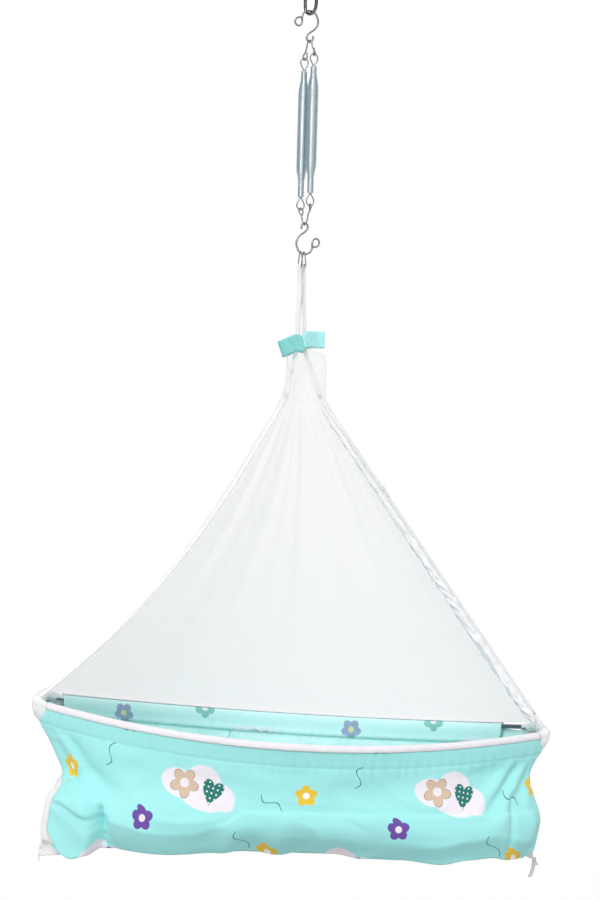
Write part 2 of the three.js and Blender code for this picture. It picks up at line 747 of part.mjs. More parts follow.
function zipSlider() {
  const half = SLIDER_WIDTH / 2;
  const pull = PULL_WIDTH / 2;
  const outline = new THREE.Shape([
    new THREE.Vector2(half, SLIDER_LENGTH / 2),
    new THREE.Vector2(-half, SLIDER_LENGTH / 2),
    new THREE.Vector2(-half, -SLIDER_LENGTH / 2 + pull),
    new THREE.Vector2(-pull, -SLIDER_LENGTH / 2),
    new THREE.Vector2(-pull, -PULL_LENGTH),
    new THREE.Vector2(pull, -PULL_LENGTH),
    new THREE.Vector2(pull, -SLIDER_LENGTH / 2),
    new THREE.Vector2(half, -SLIDER_LENGTH / 2 + pull),
  ]);
  const geometry = new THREE.ExtrudeGeometry(outline, { depth: SLIDER_THICK, bevelEnabled: false });
  const up = rightEdge.clone().negate();
  const across = new THREE.Vector3().crossVectors(up, zipOut);
  const turn = new THREE.Matrix4().makeBasis(across, up, zipOut);
  const stand = zipFace + ZIP_THICK / 2 + CLEARANCE;
  const place = edgePoint(-1, 1, ZIP_PLACE_SHARE).addScaledVector(zipOut, stand);
  turn.setPosition(place);
  geometry.applyMatrix4(turn);
  return geometry;
}
add('zip_slider', zipSlider(), STEEL_WIRE);

// The rim: two bowed rods, two short end bars, and an elbow at each corner
const rodEnd = 1 - CORNER_LEG / RIM_HALF_LENGTH;
const jointGap = 2 * CLEARANCE;
const ROD_STEPS = 16;

function rimRod(side) {
  const reach = rodEnd - jointGap / RIM_HALF_LENGTH;
  const points = [];
  for (let i = 0; i <= ROD_STEPS; i++) points.push(rimPoint(side, mix(-reach, reach, i / ROD_STEPS)));
  return wire(points, ROD_DIAMETER, ROD_STEPS, 8);
}
add('rim_rod_front', rimRod(-1), ROD_STEEL);
add('rim_rod_back', rimRod(1), ROD_STEEL);

function endBar(end) {
  const reach = END_HALF_WIDTH - CORNER_LEG - jointGap;
  const at = (side) => new THREE.Vector3(end * RIM_HALF_LENGTH, side * reach, cornerHeight(end));
  return wire([at(-1), at(1)], ROD_DIAMETER, 1, 8);
}
add('end_bar_left', endBar(-1), ROD_STEEL);
add('end_bar_right', endBar(1), ROD_STEEL);

function cornerElbow(side, end) {
  const corner = rimPoint(side, end);
  const bar = corner.clone();
  bar.y -= side * CORNER_LEG;
  const halfway = (1 + rodEnd) / 2;
  const points = [rimPoint(side, end * rodEnd), rimPoint(side, end * halfway), corner, bar];
  return wire(points, CORNER_DIAMETER, 6, 8);
}
for (const [side, end, name] of corners) add(`corner_elbow_${name}`, cornerElbow(side, end), CORNER_PLASTIC);

// A rim binding is folded over the top of a rod pocket
const bindingShares = [
  [1, -0.8], [1, 0], [0.81, 0.59], [0.31, 0.95], [-0.31, 0.95], [-0.81, 0.59], [-1, 0], [-1, -0.5],
];
const RIM_PLACES = 20;

function rimBinding(side) {
  const rows = bindingShares.map(([out, up]) => {
    const row = [];
    for (let j = 0; j <= RIM_PLACES; j++) {
      const along = mix(-POCKET_END_SHARE, POCKET_END_SHARE, j / RIM_PLACES);
      const point = rimPoint(side, along).addScaledVector(rimOut(side, along), bindingRadius * out);
      point.z += bindingRadius * up;
      row.push(point);
    }
    return side < 0 ? row.reverse() : row;
  });
  return sheet(rows, BINDING_THICK);
}
add('rim_binding_front', rimBinding(-1), WHITE_COTTON);
add('rim_binding_back', rimBinding(1), WHITE_COTTON);

// The cloth walls hang from the rim to the base. Down runs from the rim (0) to the base (1).
function downAt(height) {
  const top = rimPoint(1, 0).z;
  return (top - height) / (top - baseZ);
}

function endReach(down) {
  return mix(RIM_HALF_LENGTH, BASE_HALF_LENGTH, down)
    - WAIST * Math.sin((QUARTER_TURN * Math.min(down, 2 * WAIST_SHARE)) / WAIST_SHARE) ** 2
    + END_BELLY * bump(down, BELLY_SHARE, BELLY_SPREAD_SHARE);
}

function wallHalfWidth(along, down) {
  const rim = END_HALF_WIDTH + (RIM_HALF_WIDTH - END_HALF_WIDTH) * (1 - along * along);
  const square = 1 - Math.abs(along) ** CORNER_POWER;
  const base = BASE_END_HALF_WIDTH + (BASE_HALF_WIDTH - BASE_END_HALF_WIDTH) * square;
  return mix(rim, base, down) + SIDE_BELLY * bump(down, BELLY_SHARE, BELLY_SPREAD_SHARE) * square;
}

// The bolster lies inside the left end, and the walls are drawn in beside it
const padFoot = baseZ + CLOTH + CLEARANCE;
const bolsterHeight = padFoot + BOLSTER_RADIUS;
const bolsterX = BOLSTER_GAP + BOLSTER_RADIUS - endReach(downAt(bolsterHeight));
const pinchX = bolsterX + BOLSTER_RADIUS + CLEARANCE;

function wallPoint(side, along, down) {
  const x = along * endReach(down);
  const low = THREE.MathUtils.smoothstep(down, WAIST_SHARE, BELLY_SHARE);
  const pinch = PINCH_DEPTH * low * bump(x, pinchX, PINCH_WIDTH);
  const y = wallHalfWidth(along, down) - pinch;
  return new THREE.Vector3(x, side * y, mix(rimPoint(side, along).z, baseZ, down));
}

// The outer face of a wall stands out round its rod and comes in towards the base
function outerWall(side, along, down) {
  return wallPoint(side, along, down).addScaledVector(rimOut(side, along), pocketRadius * (1 - down));
}

// The top of a wall goes over its rod. Each pair is a share of the pocket's radius outwards and
// upwards.
const pocketOverShares = [
  [-1, 0], [-0.71, 0.71], [0, 1], [0.71, 0.71], [1, 0], [1, -1],
];

// The hem inside the pocket comes back to the wall at the stitch line. Each pair is a share of the
// pocket's depth, and of the way from the rod's inner side (0) to the wall (1).
const innerHemShares = [[1, 1], [0.6, 0.5], [0.2, 0]];
const hemSeam = CLOTH + CLEARANCE;
const WALL_ROWS = 8;

function hemPoint(side, along, fallShare, sewnShare) {
  const out = rimOut(side, along);
  const top = rimPoint(side, along);
  const fall = fallShare * POCKET_DEPTH;
  const inner = top.clone().addScaledVector(out, -pocketRadius);
  inner.z -= fall;
  const sewn = outerWall(side, along, fall / (top.z - baseZ)).addScaledVector(out, -hemSeam);
  return inner.lerp(sewn, sewnShare);
}

function sideWall(side) {
  const rows = [];
  const rimRow = (pointAt) => {
    const row = [];
    for (let j = 0; j <= RIM_PLACES; j++) {
      row.push(pointAt(mix(-POCKET_END_SHARE, POCKET_END_SHARE, j / RIM_PLACES)));
    }
    rows.push(row);
  };
  for (const [fall, sewn] of innerHemShares) rimRow((along) => hemPoint(side, along, fall, sewn));
  for (const [out, up] of pocketOverShares) {
    rimRow((along) => {
      const point = rimPoint(side, along).addScaledVector(rimOut(side, along), out * pocketRadius);
      point.z += up * pocketRadius;
      return point;
    });
  }
  for (let i = 1; i <= WALL_ROWS; i++) {
    const down = i / WALL_ROWS;
    const wide = THREE.MathUtils.smoothstep(down, 0, WALL_CORNER_SHARE);
    const reach = mix(POCKET_END_SHARE, 1, wide);
    const row = [];
    for (let j = 0; j <= RIM_PLACES; j++) {
      row.push(outerWall(side, mix(-reach, reach, j / RIM_PLACES), down));
    }
    rows.push(row);
  }
  return sheet(side < 0 ? rows : rows.map((row) => row.reverse()), CLOTH);
}
add('front_wall', sideWall(-1), AQUA_COTTON);
add('back_wall', sideWall(1), AQUA_COTTON);

// An end wall folds over its end bar, hangs between the side walls, and has a short tail
function endWall(end) {
  const rows = [];
  const barHeight = cornerHeight(end);
  const barReach = END_HALF_WIDTH - CORNER_LEG - END_TOP_GAP;
  const row = (reach, x, z) => {
    const places = [];
    for (let j = 0; j <= END_PLACES; j++) {
      places.push(new THREE.Vector3(end * x, mix(-reach, reach, j / END_PLACES), z));
    }
    rows.push(places);
  };
  for (const [fallShare, sewnShare] of innerHemShares) {
    const fall = fallShare * POCKET_DEPTH;
    const down = fall / (barHeight - baseZ);
    const sewn = endReach(down) + pocketRadius * (1 - down) - hemSeam;
    row(barReach, mix(RIM_HALF_LENGTH - pocketRadius, sewn, sewnShare), barHeight - fall);
  }
  for (const [out, up] of pocketOverShares) {
    row(barReach, RIM_HALF_LENGTH + out * pocketRadius, barHeight + up * pocketRadius);
  }
  for (let i = 1; i <= WALL_ROWS; i++) {
    const down = i / WALL_ROWS;
    const wide = THREE.MathUtils.smoothstep(down, 1 / WALL_ROWS, WALL_CORNER_SHARE);
    const reach = mix(barReach, wallHalfWidth(1, down) - SEAM_GAP, wide);
    row(reach, endReach(down) + pocketRadius * (1 - down), mix(barHeight, baseZ, down));
  }
  const tail = wallHalfWidth(1, 1) * TAIL_WIDTH_SHARE;
  row(tail, endReach(1) + END_TAIL / 2, baseZ - END_TAIL);
  return sheet(end > 0 ? rows : rows.map((places) => places.reverse()), CLOTH);
}
add('end_wall_left', endWall(-1), WHITE_COTTON);
add('end_wall_right', endWall(1), WHITE_COTTON);

// The base cloth lies inside the feet of the walls
function baseCloth() {
  const inset = CLOTH + CLEARANCE + CLEARANCE;
  const point = (across, lengthwise) => {
    const along = 2 * lengthwise - 1;
    const half = Math.abs(wallPoint(1, along, 1).y) - inset;
    const x = along * (endReach(1) - inset);
    return new THREE.Vector3(x, mix(-half, half, across), baseZ + CLOTH / 2);
  };
  return sheet(grid(2, RIM_PLACES, point), CLOTH, { normal: new THREE.Vector3(0, 0, 1) });
}
add('base_cloth', baseCloth(), AQUA_COTTON);

// The mattress: a crowned pad whose sides follow the bellies of the walls. It runs from beside the
// bolster to the right end.
const mattressMiddle = padFoot + MATTRESS_THICK / 2;

function mattress() {
  const inset = CLOTH / 2 + MATTRESS_ROOM;
  const down = downAt(mattressMiddle);
  const edge = MATTRESS_EDGE / 2;
  const reaches = [edge, -edge].map((up) => endReach(downAt(mattressMiddle + up)));
  const right = Math.min(...reaches) - inset;
  const left = pinchX + CLEARANCE;
  const places = 16;
  const point = (across, lengthwise) => {
    const x = mix(left, right, lengthwise);
    const half = Math.abs(wallPoint(1, x / endReach(down), down).y) - inset;
    return new THREE.Vector3(x, mix(-half, half, across), mattressMiddle);
  };
  const closer = (share) => Math.sin(Math.PI * (share - 0.5)) / 2 + 0.5;
  const crown = (i, j) => {
    const side = 1 - Math.abs(2 * closer(i / MATTRESS_ROWS) - 1) ** CROWN_POWER;
    const end = 1 - Math.abs(2 * closer(j / places) - 1) ** (2 * CROWN_POWER);
    return mix(MATTRESS_EDGE, MATTRESS_THICK, Math.sqrt(side * end));
  };
  const rows = grid(MATTRESS_ROWS, places, (across, lengthwise) => point(closer(across), closer(lengthwise)));
  return sheet(rows, crown, { normal: new THREE.Vector3(0, 0, 1) });
}
add('mattress', mattress(), AQUA_COTTON);

// The bolster lies across the left end, with gathered round ends
function bolster() {
  const profile = [new THREE.Vector2(0, -BOLSTER_HALF_LENGTH + BOLSTER_DIMPLE)];
  const steps = 8;
  for (let i = 0; i <= steps; i++) {
    const turn = mix(-QUARTER_TURN, QUARTER_TURN, i / steps);
    const round = Math.cos(turn) ** BOLSTER_ROUND_POWER;
    profile.push(new THREE.Vector2(
      BOLSTER_RADIUS * Math.max(round, BOLSTER_GATHER_SHARE),
      BOLSTER_HALF_LENGTH * Math.sin(turn),
    ));
  }
  profile.push(new THREE.Vector2(0, BOLSTER_HALF_LENGTH - BOLSTER_DIMPLE));
  const geometry = new THREE.LatheGeometry(profile, 16);
  geometry.translate(bolsterX, 0, bolsterHeight);
  return geometry;
}
add('bolster', bolster(), AQUA_COTTON);

// A short tie cord hangs from the left tail, and two tape ties from the right one. The cord's
// route is given from where it leaves the tail.
const tailFoot = baseZ - END_TAIL - 2 * CLEARANCE;
const tailX = endReach(1) + END_TAIL / 2;
const tieCordRoute = [
  [0, 0, 0], [0, 0, -6], [-1, -0.5, -12], [-1.5, -1.5, -18], [-1, -2.5, -24], [0.5, -3, -30],
];

function tieCord() {
  const start = new THREE.Vector3(-tailX, -TIE_SET, tailFoot);
  const points = tieCordRoute.map(([x, y, z]) => new THREE.Vector3(x, y, z).add(start));
  return wire(points, CORD_DIAMETER, 8, 8);
}
add('tie_cord_left', tieCord(), WHITE_COTTON);

const tieShares = [0, 0.3, 0.6, 1];
const TIE_SKEW_SHARE = 0.3;

function tapeTie(y, lean, length) {
  const across = new THREE.Vector3(1, TIE_SKEW_SHARE, 0);
  const places = tieShares.map((share) => ({
    point: new THREE.Vector3(tailX + lean * share * share, y, tailFoot - CLEARANCE - length * share),
    across,
  }));
  return ribbon(places, TIE_WIDTH, TIE_THICK);
}
add('tie_tape_long', tapeTie(-TIE_SET, -TIE_LEAN, TIE_LENGTH), WHITE_COTTON);
add('tie_tape_short', tapeTie(TIE_WIDTH - TIE_SET, TIE_LEAN, TIE_LENGTH * TIE_SHORT_SHARE), WHITE_COTTON);

export default object;
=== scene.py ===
import math

import bpy
from mathutils import Matrix, Vector, noise


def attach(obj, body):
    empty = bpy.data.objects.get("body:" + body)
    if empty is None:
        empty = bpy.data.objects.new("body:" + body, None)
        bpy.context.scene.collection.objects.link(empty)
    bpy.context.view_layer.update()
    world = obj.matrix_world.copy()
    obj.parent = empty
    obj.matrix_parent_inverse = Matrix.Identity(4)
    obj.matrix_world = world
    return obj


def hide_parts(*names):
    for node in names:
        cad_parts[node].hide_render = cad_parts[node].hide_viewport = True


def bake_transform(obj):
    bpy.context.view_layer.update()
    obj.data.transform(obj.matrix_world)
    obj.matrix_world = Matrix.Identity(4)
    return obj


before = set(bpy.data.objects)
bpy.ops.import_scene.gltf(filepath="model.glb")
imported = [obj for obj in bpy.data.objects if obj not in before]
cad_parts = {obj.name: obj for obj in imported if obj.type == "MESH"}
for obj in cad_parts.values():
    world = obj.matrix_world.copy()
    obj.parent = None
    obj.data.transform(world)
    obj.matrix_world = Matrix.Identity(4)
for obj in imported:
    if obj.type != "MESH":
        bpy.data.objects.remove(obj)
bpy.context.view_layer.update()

# A cloth baby cradle that hangs from wire hooks and a pair of springs. Lengths are in metres.

# Camera: level, far off, and turned a little about its own line of sight
CAMERA_PLACE = (0.003, -4.0, -0.83)
CAMERA_LENS = 88.9
CAMERA_SENSOR = 36
CAMERA_ROLL = 1.6

FLOOR_HEIGHT = -2.1
FLOOR_SIZE = 60
FLOOR_GLOW = 0.462
WORLD_LEVEL = 0.79
SIDE_LEVEL = 0.02
KEY_STRENGTH = 1.4
KEY_SPREAD = math.radians(30)
KEY_LEAN = math.radians(48)
KEY_TURN = math.radians(-22)

# Ways that the flat wire pieces face, in degrees from the plane of the cradle's length
LINK_YAW = -50
HOOK_YAW = 30
YOKE_YAW = -45
EYE_YAW = 30
LOOP_YAW = HOOK_YAW - 90

# Wires and what hangs in what
LINK_WIRE = 0.006
LINK_WIDTH = 0.036
LINK_LENGTH = 0.054
HOOK_WIRE = 0.003
HOOK_REACH = 0.016
HOOK_DROP = 0.056
YOKE_WIRE = 0.0025
UPPER_LEG = 0.029
LOWER_LEG = 0.037
LEG_STEP = 0.006
LEG_HOOK_RADIUS = 0.0032
LEG_HOOK_RETURN = 0.014
YOKE_BEND = 0.003
EYE_WIRE = 0.0022
EYE_HALF_WIDTH = 0.008
EYE_DROP = 0.022
WIRE_PLAY = 0.0008
# How thick the wires look with their plating
HOOK_ROUND = 0.0035
YOKE_ROUND = 0.0028
EYE_ROUND = 0.0024
LOOP_ROUND = 0.0023

SPRING_SPACING = 0.024
SPRING_LENGTH = 0.229
SPRING_WIRE = 0.0017
SPRING_OUTER = 0.0195
SPRING_NARROW = 0.0118
SPRING_UPPER_NECK = 0.012
SPRING_UPPER_TAPER = 0.04
SPRING_LOWER_NECK = 0.026
SPRING_LOWER_TAPER = 0.054
SPRING_CURLS = 132
CURL_STEPS = 18
CURL_SIDES = 6

LOOP_WIRE = 0.002
LOOP_WIDTH = 0.016
LOOP_HEIGHT = 0.026
LOOP_SPACING = 0.0068
LOOP_PLAY = 0.0012

STRAP_WIDTH = 0.01
STRAP_THICK = 0.0016
FIT = 0.0003

BAND_TOP = -0.616
BAND_HEIGHT = 0.03
BAND_HALF_LENGTH = 0.043
BAND_HALF_DEPTH = 0.0165
BAND_THICK = 0.0016
BAND_TILT = math.radians(20)
LEFT_WING_SHARE = 0.87
# Half of the band's cut length, less the stitched wing
BAND_START_CUT = 0.0555
PATCH_SIZE = 0.022
PATCH_THICK = 0.001

NECK_TOP = -0.624
NECK_SHOULDER = -0.649
NECK_BOTTOM = -0.736
NECK_HALF_WIDTH = 0.031
NECK_HALF_DEPTH = 0.014
NECK_SHIFT = 0.006
NECK_ROOM = 0.008
NECK_TOP_RADIUS = 0.0148
NECK_LEFT = 0.0255
OPENING_APEX = -0.689
OPENING_LEFT_FOOT = -0.713
OPENING_RIGHT_FOOT = -0.752
NET_ROOM = 0.0025
HEM_WIDTH = 0.013
LEFT_EDGE_SLACK_SHARE = 0.3
ROLL_DIAMETER = 0.016
ROLL_STEPS = 190
ROLL_TURNS = 3
ROLL_TURN_STEPS = 26
ROLL_CORE_SHARE = 0.45

RIM_Z = -1.308
RIM_HALF_LENGTH = 0.452
RIM_HALF_WIDTH = 0.225
END_HALF_WIDTH = 0.06
ROD_SAG = 0.029
RIM_TILT = 0.016
ROD_DIAMETER = 0.008
CORNER_LEG = 0.018
CORNER_DIAMETER = 0.014
POCKET_RADIUS = 0.0056
POCKET_DEPTH = 0.032
BINDING_RADIUS = 0.0076
RIM_TOP = 0.0085
CORNER_TOP = 0.0076

BASE_Z = -1.523
BASE_HALF_LENGTH = 0.426
BASE_HALF_WIDTH = 0.188
BASE_END_HALF_WIDTH = 0.105
WAIST = 0.03
WAIST_SHARE = 0.38
BELLY_SHARE = 0.74
BELLY_SPREAD_SHARE = 0.32
SIDE_BELLY = 0.024
END_BELLY = 0.008
PINCH_DEPTH = 0.012
PINCH_WIDTH = 0.026
CLOTH_THICK = 0.0012

BOLSTER_RADIUS = 0.057
BOLSTER_GAP = 0.008
BOLSTER_HALF_LENGTH = 0.13


def mix(a, b, share):
    return a + (b - a) * share


def smooth(value, low, high):
    share = min(max((value - low) / (high - low), 0), 1)
    return share * share * (3 - 2 * share)


def bump(at, middle, spread):
    return math.exp(-(((at - middle) / spread) ** 2))


def drift(x, y, seed):
    """A smooth random value from about -1 to 1 that is the same each run."""
    return noise.noise(Vector((x, y, seed)))


# Heights down the chain, each from the piece above it
LINK_MIDDLE = LINK_WIRE - LINK_LENGTH / 2
LINK_FOOT = LINK_WIRE * 1.5 - LINK_LENGTH
HOOK_TOP = LINK_FOOT + LINK_WIRE / 2 + HOOK_WIRE / 2 + WIRE_PLAY
HOOK_FOOT = HOOK_TOP - HOOK_DROP
HOOK_TO_YOKE = HOOK_WIRE / 2 + YOKE_WIRE / 2 + WIRE_PLAY
YOKE_TO_EYE = YOKE_WIRE / 2 + EYE_WIRE / 2 + WIRE_PLAY
UPPER_YOKE_APEX = HOOK_FOOT + HOOK_TO_YOKE
UPPER_EYE_TOP = UPPER_YOKE_APEX - UPPER_LEG + YOKE_TO_EYE
SPRING_TOP = UPPER_EYE_TOP - EYE_DROP
SPRING_FOOT = SPRING_TOP - SPRING_LENGTH
LOWER_EYE_FOOT = SPRING_FOOT - EYE_DROP
LOWER_YOKE_APEX = LOWER_EYE_FOOT + YOKE_TO_EYE - LOWER_LEG
LOWER_HOOK_TOP = LOWER_YOKE_APEX + HOOK_TO_YOKE
LOWER_HOOK_FOOT = LOWER_HOOK_TOP - HOOK_DROP
LOOP_TOP = LOWER_HOOK_FOOT + HOOK_WIRE / 2 + LOOP_WIRE / 2 + LOOP_PLAY
LOOP_FOOT = LOOP_TOP - LOOP_HEIGHT + LOOP_WIRE


def upright(yaw, along=0):
    """A place in an upright plane through the hanging line, turned by the yaw."""
    turn = math.radians(yaw)
    x = math.cos(turn)
    y = math.sin(turn)
    return lambda across, up: Vector((x * across - y * along, y * across + x * along, up))


# The cradle's rim, walls and canopy edges, the same forms as the model's
def corner_height(end):
    return RIM_Z - end * RIM_TILT


def rim_point(side, along):
    bow = 1 - along * along
    return Vector((
        along * RIM_HALF_LENGTH,
        side * (END_HALF_WIDTH + (RIM_HALF_WIDTH - END_HALF_WIDTH) * bow),
        RIM_Z - ROD_SAG * bow - RIM_TILT * along,
    ))


def rim_out(side, along):
    slope = 2 * along * (RIM_HALF_WIDTH - END_HALF_WIDTH) / RIM_HALF_LENGTH
    return Vector((slope, side, 0)).normalized()


def edge_point(side, end, down):
    start = NECK_HALF_WIDTH + end * NECK_SHIFT
    slack = LEFT_EDGE_SLACK_SHARE * (1 - down * down) if end < 0 else 0
    return Vector((
        end * mix(start, RIM_HALF_LENGTH, down * (1 - slack)),
        side * mix(NECK_HALF_DEPTH, END_HALF_WIDTH, down),
        mix(NECK_BOTTOM, corner_height(end) + CORNER_TOP, down),
    ))


def edge_across(side, end):
    return Vector((end, -side, 0)).normalized()


def down_at(height):
    top = rim_point(1, 0).z
    return (top - height) / (top - BASE_Z)


def end_reach(down):
    waist = math.sin(math.pi / 2 * min(down, 2 * WAIST_SHARE) / WAIST_SHARE) ** 2
    return (mix(RIM_HALF_LENGTH, BASE_HALF_LENGTH, down) - WAIST * waist
            + END_BELLY * bump(down, BELLY_SHARE, BELLY_SPREAD_SHARE))


# How the real cloth is drawn in at the left end and stands out at the right, beyond the plain form.
# Each is a distance in, at a share of the way down, over a spread.
END_DRAWS = {-1: [(0.027, 0.55, 0.14), (0.011, 0.76, 0.1)], 1: [(-0.008, 0.45, 0.15)]}


def drawn_reach(down, end):
    return end_reach(down) - sum(depth * bump(down, at, spread) for depth, at, spread in END_DRAWS[end])


def wall_half_width(along, down):
    rim = END_HALF_WIDTH + (RIM_HALF_WIDTH - END_HALF_WIDTH) * (1 - along * along)
    square = 1 - abs(along) ** 5
    base = BASE_END_HALF_WIDTH + (BASE_HALF_WIDTH - BASE_END_HALF_WIDTH) * square
    return mix(rim, base, down) + SIDE_BELLY * bump(down, BELLY_SHARE, BELLY_SPREAD_SHARE) * square


PAD_FOOT = BASE_Z + 0.0019
BOLSTER_HEIGHT = PAD_FOOT + BOLSTER_RADIUS
BOLSTER_X = BOLSTER_GAP + BOLSTER_RADIUS - end_reach(down_at(BOLSTER_HEIGHT))
PINCH_X = BOLSTER_X + BOLSTER_RADIUS + FIT


def wall_point(side, along, down):
    x = along * drawn_reach(down, 1 if along > 0 else -1)
    low = smooth(down, WAIST_SHARE, BELLY_SHARE)
    pinch = PINCH_DEPTH * low * bump(x, PINCH_X, PINCH_WIDTH)
    y = wall_half_width(along, down) - pinch
    return Vector((x, side * y, mix(rim_point(side, along).z, BASE_Z, down)))


# Shader nodes: values in expressions, and every other node from one method
class Value:
    def __init__(self, paint, socket):
        self.paint = paint
        self.socket = socket

    def math(self, operation, *others, clamp=False):
        settings = {"operation": operation, "use_clamp": clamp}
        values = dict(enumerate([self, *others]))
        return self.paint.node("ShaderNodeMath", settings, values)

    def __add__(self, other):
        return self.math("ADD", other)

    def __sub__(self, other):
        return self.math("SUBTRACT", other)

    def __mul__(self, other):
        return self.math("MULTIPLY", other)

    def __truediv__(self, other):
        return self.math("DIVIDE", other)

    def __neg__(self):
        return self.math("MULTIPLY", -1)

    def __abs__(self):
        return self.math("ABSOLUTE")

    __radd__ = __add__
    __rmul__ = __mul__

    def __rsub__(self, other):
        return self.paint.node("ShaderNodeMath", {"operation": "SUBTRACT"}, {0: other, 1: self})

    def sin(self):
        return self.math("SINE")

    def cos(self):
        return self.math("COSINE")

    def clamped(self):
        return self.math("ADD", 0, clamp=True)

    def most(self, other):
        return self.math("MAXIMUM", other)

    def wrapped(self, period):
        return self.math("WRAP", period / 2, -period / 2)


def colour(code):
    """A colour written as on screen, in the renderer's own values."""
    shares = [int(code[i:i + 2], 16) / 255 for i in (0, 2, 4)]
    linear = [s / 12.92 if s <= 0.04045 else ((s + 0.055) / 1.055) ** 2.4 for s in shares]
    return (*linear, 1)


class Paint:
    """The node tree of one material."""

    def __init__(self, name, tree=None):
        if tree is None:
            self.material = bpy.data.materials.new(name)
            self.material.use_nodes = True
            tree = self.material.node_tree
        self.tree = tree
        self.tree.nodes.clear()

    def node(self, kind, settings=None, inputs=None, output=0):
        made = self.tree.nodes.new(kind)
        for key, value in (settings or {}).items():
            setattr(made, key, value)
        for key, value in (inputs or {}).items():
            if isinstance(value, Value):
                self.tree.links.new(value.socket, made.inputs[key])
            else:
                made.inputs[key].default_value = value
        return None if output is None else Value(self, made.outputs[output])

    def mixed(self, share, first, second):
        inputs = {0: share, 6: first, 7: second}
        return self.node("ShaderNodeMix", {"data_type": "RGBA"}, inputs, output=2)

    def coordinates(self):
        """Places on the object itself, in metres."""
        return self.node("ShaderNodeTexCoord", output="Object")

    def flat_places(self):
        """Places on the cut cloth before it was sewn, in metres."""
        return self.node("ShaderNodeUVMap", {"uv_map": "cut"})

    def split(self, vector):
        return [self.node("ShaderNodeSeparateXYZ", None, {0: vector}, output=i) for i in range(3)]

    def cloudy(self, vector, scale, detail=2):
        inputs = {"Vector": vector, "Scale": scale, "Detail": detail, "Roughness": 0.5}
        return self.node("ShaderNodeTexNoise", {"noise_dimensions": "3D"}, inputs)

    def bumped(self, height, strength, distance):
        inputs = {"Height": height, "Strength": strength, "Distance": distance}
        return self.node("ShaderNodeBump", None, inputs)

    def fabric(self, shade, rough, sheen, sheen_rough, raised, strength, distance):
        """Cloth: a soft sheen, and a raised pattern of threads."""
        return self.finish({
            "Base Color": shade,
            "Roughness": rough,
            "Sheen Weight": sheen,
            "Sheen Roughness": sheen_rough,
            "Normal": self.bumped(raised, strength, distance),
        })

    def finish(self, inputs):
        shader = self.node("ShaderNodeBsdfPrincipled", None, inputs)
        self.node("ShaderNodeOutputMaterial", None, {"Surface": shader}, output=None)
        return self.material


def plated_wire(name, base, dark, roughness):
    """Round plated wire with a few dull patches and fine drawing marks along it."""
    paint = Paint(name)
    place = paint.coordinates()
    patches = paint.cloudy(place, 160, 3)
    marks = paint.cloudy(place, 1400, 1)
    shade = paint.mixed(patches, colour(base), colour(dark))
    return paint.finish({
        "Base Color": shade,
        "Metallic": 1,
        "Roughness": roughness + patches * 0.18,
        "Normal": paint.bumped(marks, 0.25, 0.0001),
    })


def moulded_plastic():
    paint = Paint("corner plastic")
    grain = paint.cloudy(paint.coordinates(), 700, 2)
    shade = paint.mixed(grain, colour("F0F0EE"), colour("E2E4E3"))
    return paint.finish({
        "Base Color": shade,
        "Roughness": 0.42 + grain * 0.2,
        "Normal": paint.bumped(grain, 0.2, 0.0002),
    })


def weave_height(paint, place, pitch):
    """Threads over and under, on the cut cloth."""
    across, along = paint.split(place)[:2]
    turn = 2 * math.pi / pitch
    return (across * turn).sin() * (along * turn).sin()


def white_cloth(name, light, dark, pitch):
    """Plain white cotton or webbing: weave, slubs and soft shade in its folds."""
    paint = Paint(name)
    place = paint.flat_places()
    weave = weave_height(paint, place, pitch)
    slub = paint.cloudy(place, 90, 3)
    shade = paint.mixed(slub, colour(light), colour(dark))
    return paint.fabric(shade, 0.8 + slub * 0.15, 0.2, 0.5, weave + slub * 2, 0.3, 0.0003)


NET_PITCH = 0.0014


def mosquito_net():
    """Fine net, dense where its threads cross and a little uneven. About half of it is holes. Lower down
    it is painted greyer and denser, a painted shade.
    """
    paint = Paint("white net")
    place = paint.flat_places()
    across, along = paint.split(place)[:2]
    turn = 2 * math.pi / NET_PITCH
    threads = ((across * turn).cos().most((along * turn).cos()) - 0.1).clamped()
    slub = paint.cloudy(place, 14, 3)
    high = paint.split(paint.coordinates())[2]
    # Painted shade: from 0.8 to 1.35 m below the top, the net is painted greyer and a little more
    # opaque, darker towards the bottom.
    spread = ((-high - 0.8) / 0.55).clamped()
    shade = paint.mixed(slub, colour("FFFFFF"), colour("FAF9FB"))
    shade = paint.mixed(spread, shade, colour("F4E8EB"))
    return paint.finish({
        "Base Color": shade,
        "Roughness": 0.9,
        "Sheen Weight": 0.15,
        "Alpha": 0.25 + spread * 0.06 + threads * 0.05 + slub * 0.08,
        "Normal": paint.bumped(slub, 0.1, 0.001),
    })


# How wide the soft edge of a printed figure is
PRINT_EDGE = 0.0012


def disc(x, y, radius, soft=PRINT_EDGE):
    return ((radius - (x * x + y * y).math("SQRT")) / soft + 0.5).clamped()


def petals(x, y, radius, count, depth):
    """A flower with round petals: its radius swells and shrinks as it goes round."""
    turn = y.math("ARCTAN2", x) * (count / 2)
    edge = radius * (1 - depth) + abs(turn.cos()) * (radius * depth)
    return ((edge - (x * x + y * y).math("SQRT")) / PRINT_EDGE + 0.5).clamped()


def cloud(x, y, lobes):
    """Overlapping ovals with a soft edge. Each has its middle, its half width and its half height."""
    mask = None
    for left, up, wide, high in lobes:
        u = (x - left) / wide
        v = (y - up) / high
        oval = ((1 - (u * u + v * v).math("SQRT")) * (high / 0.0025) + 0.5).clamped()
        mask = oval if mask is None else mask.most(oval)
    return mask


def stroke(x, y, half_length, bend, waves, half_width):
    """A short wavy line."""
    off = abs(y - (x * waves).sin() * bend)
    inside = ((half_width - off) / 0.0008 + 0.5).clamped()
    return inside * ((half_length - abs(x)) / 0.0008 + 0.5).clamped()


def heart(x, y, size):
    """A plump heart that stands on its point."""
    across = abs(x / size)
    up = y / size - (across * 1.6).math("SQRT") * 0.62 + 0.25
    away = (across * across * 1.1 + up * up * 1.25).math("SQRT")
    return ((0.72 - away) * (size / PRINT_EDGE) + 0.5).clamped()


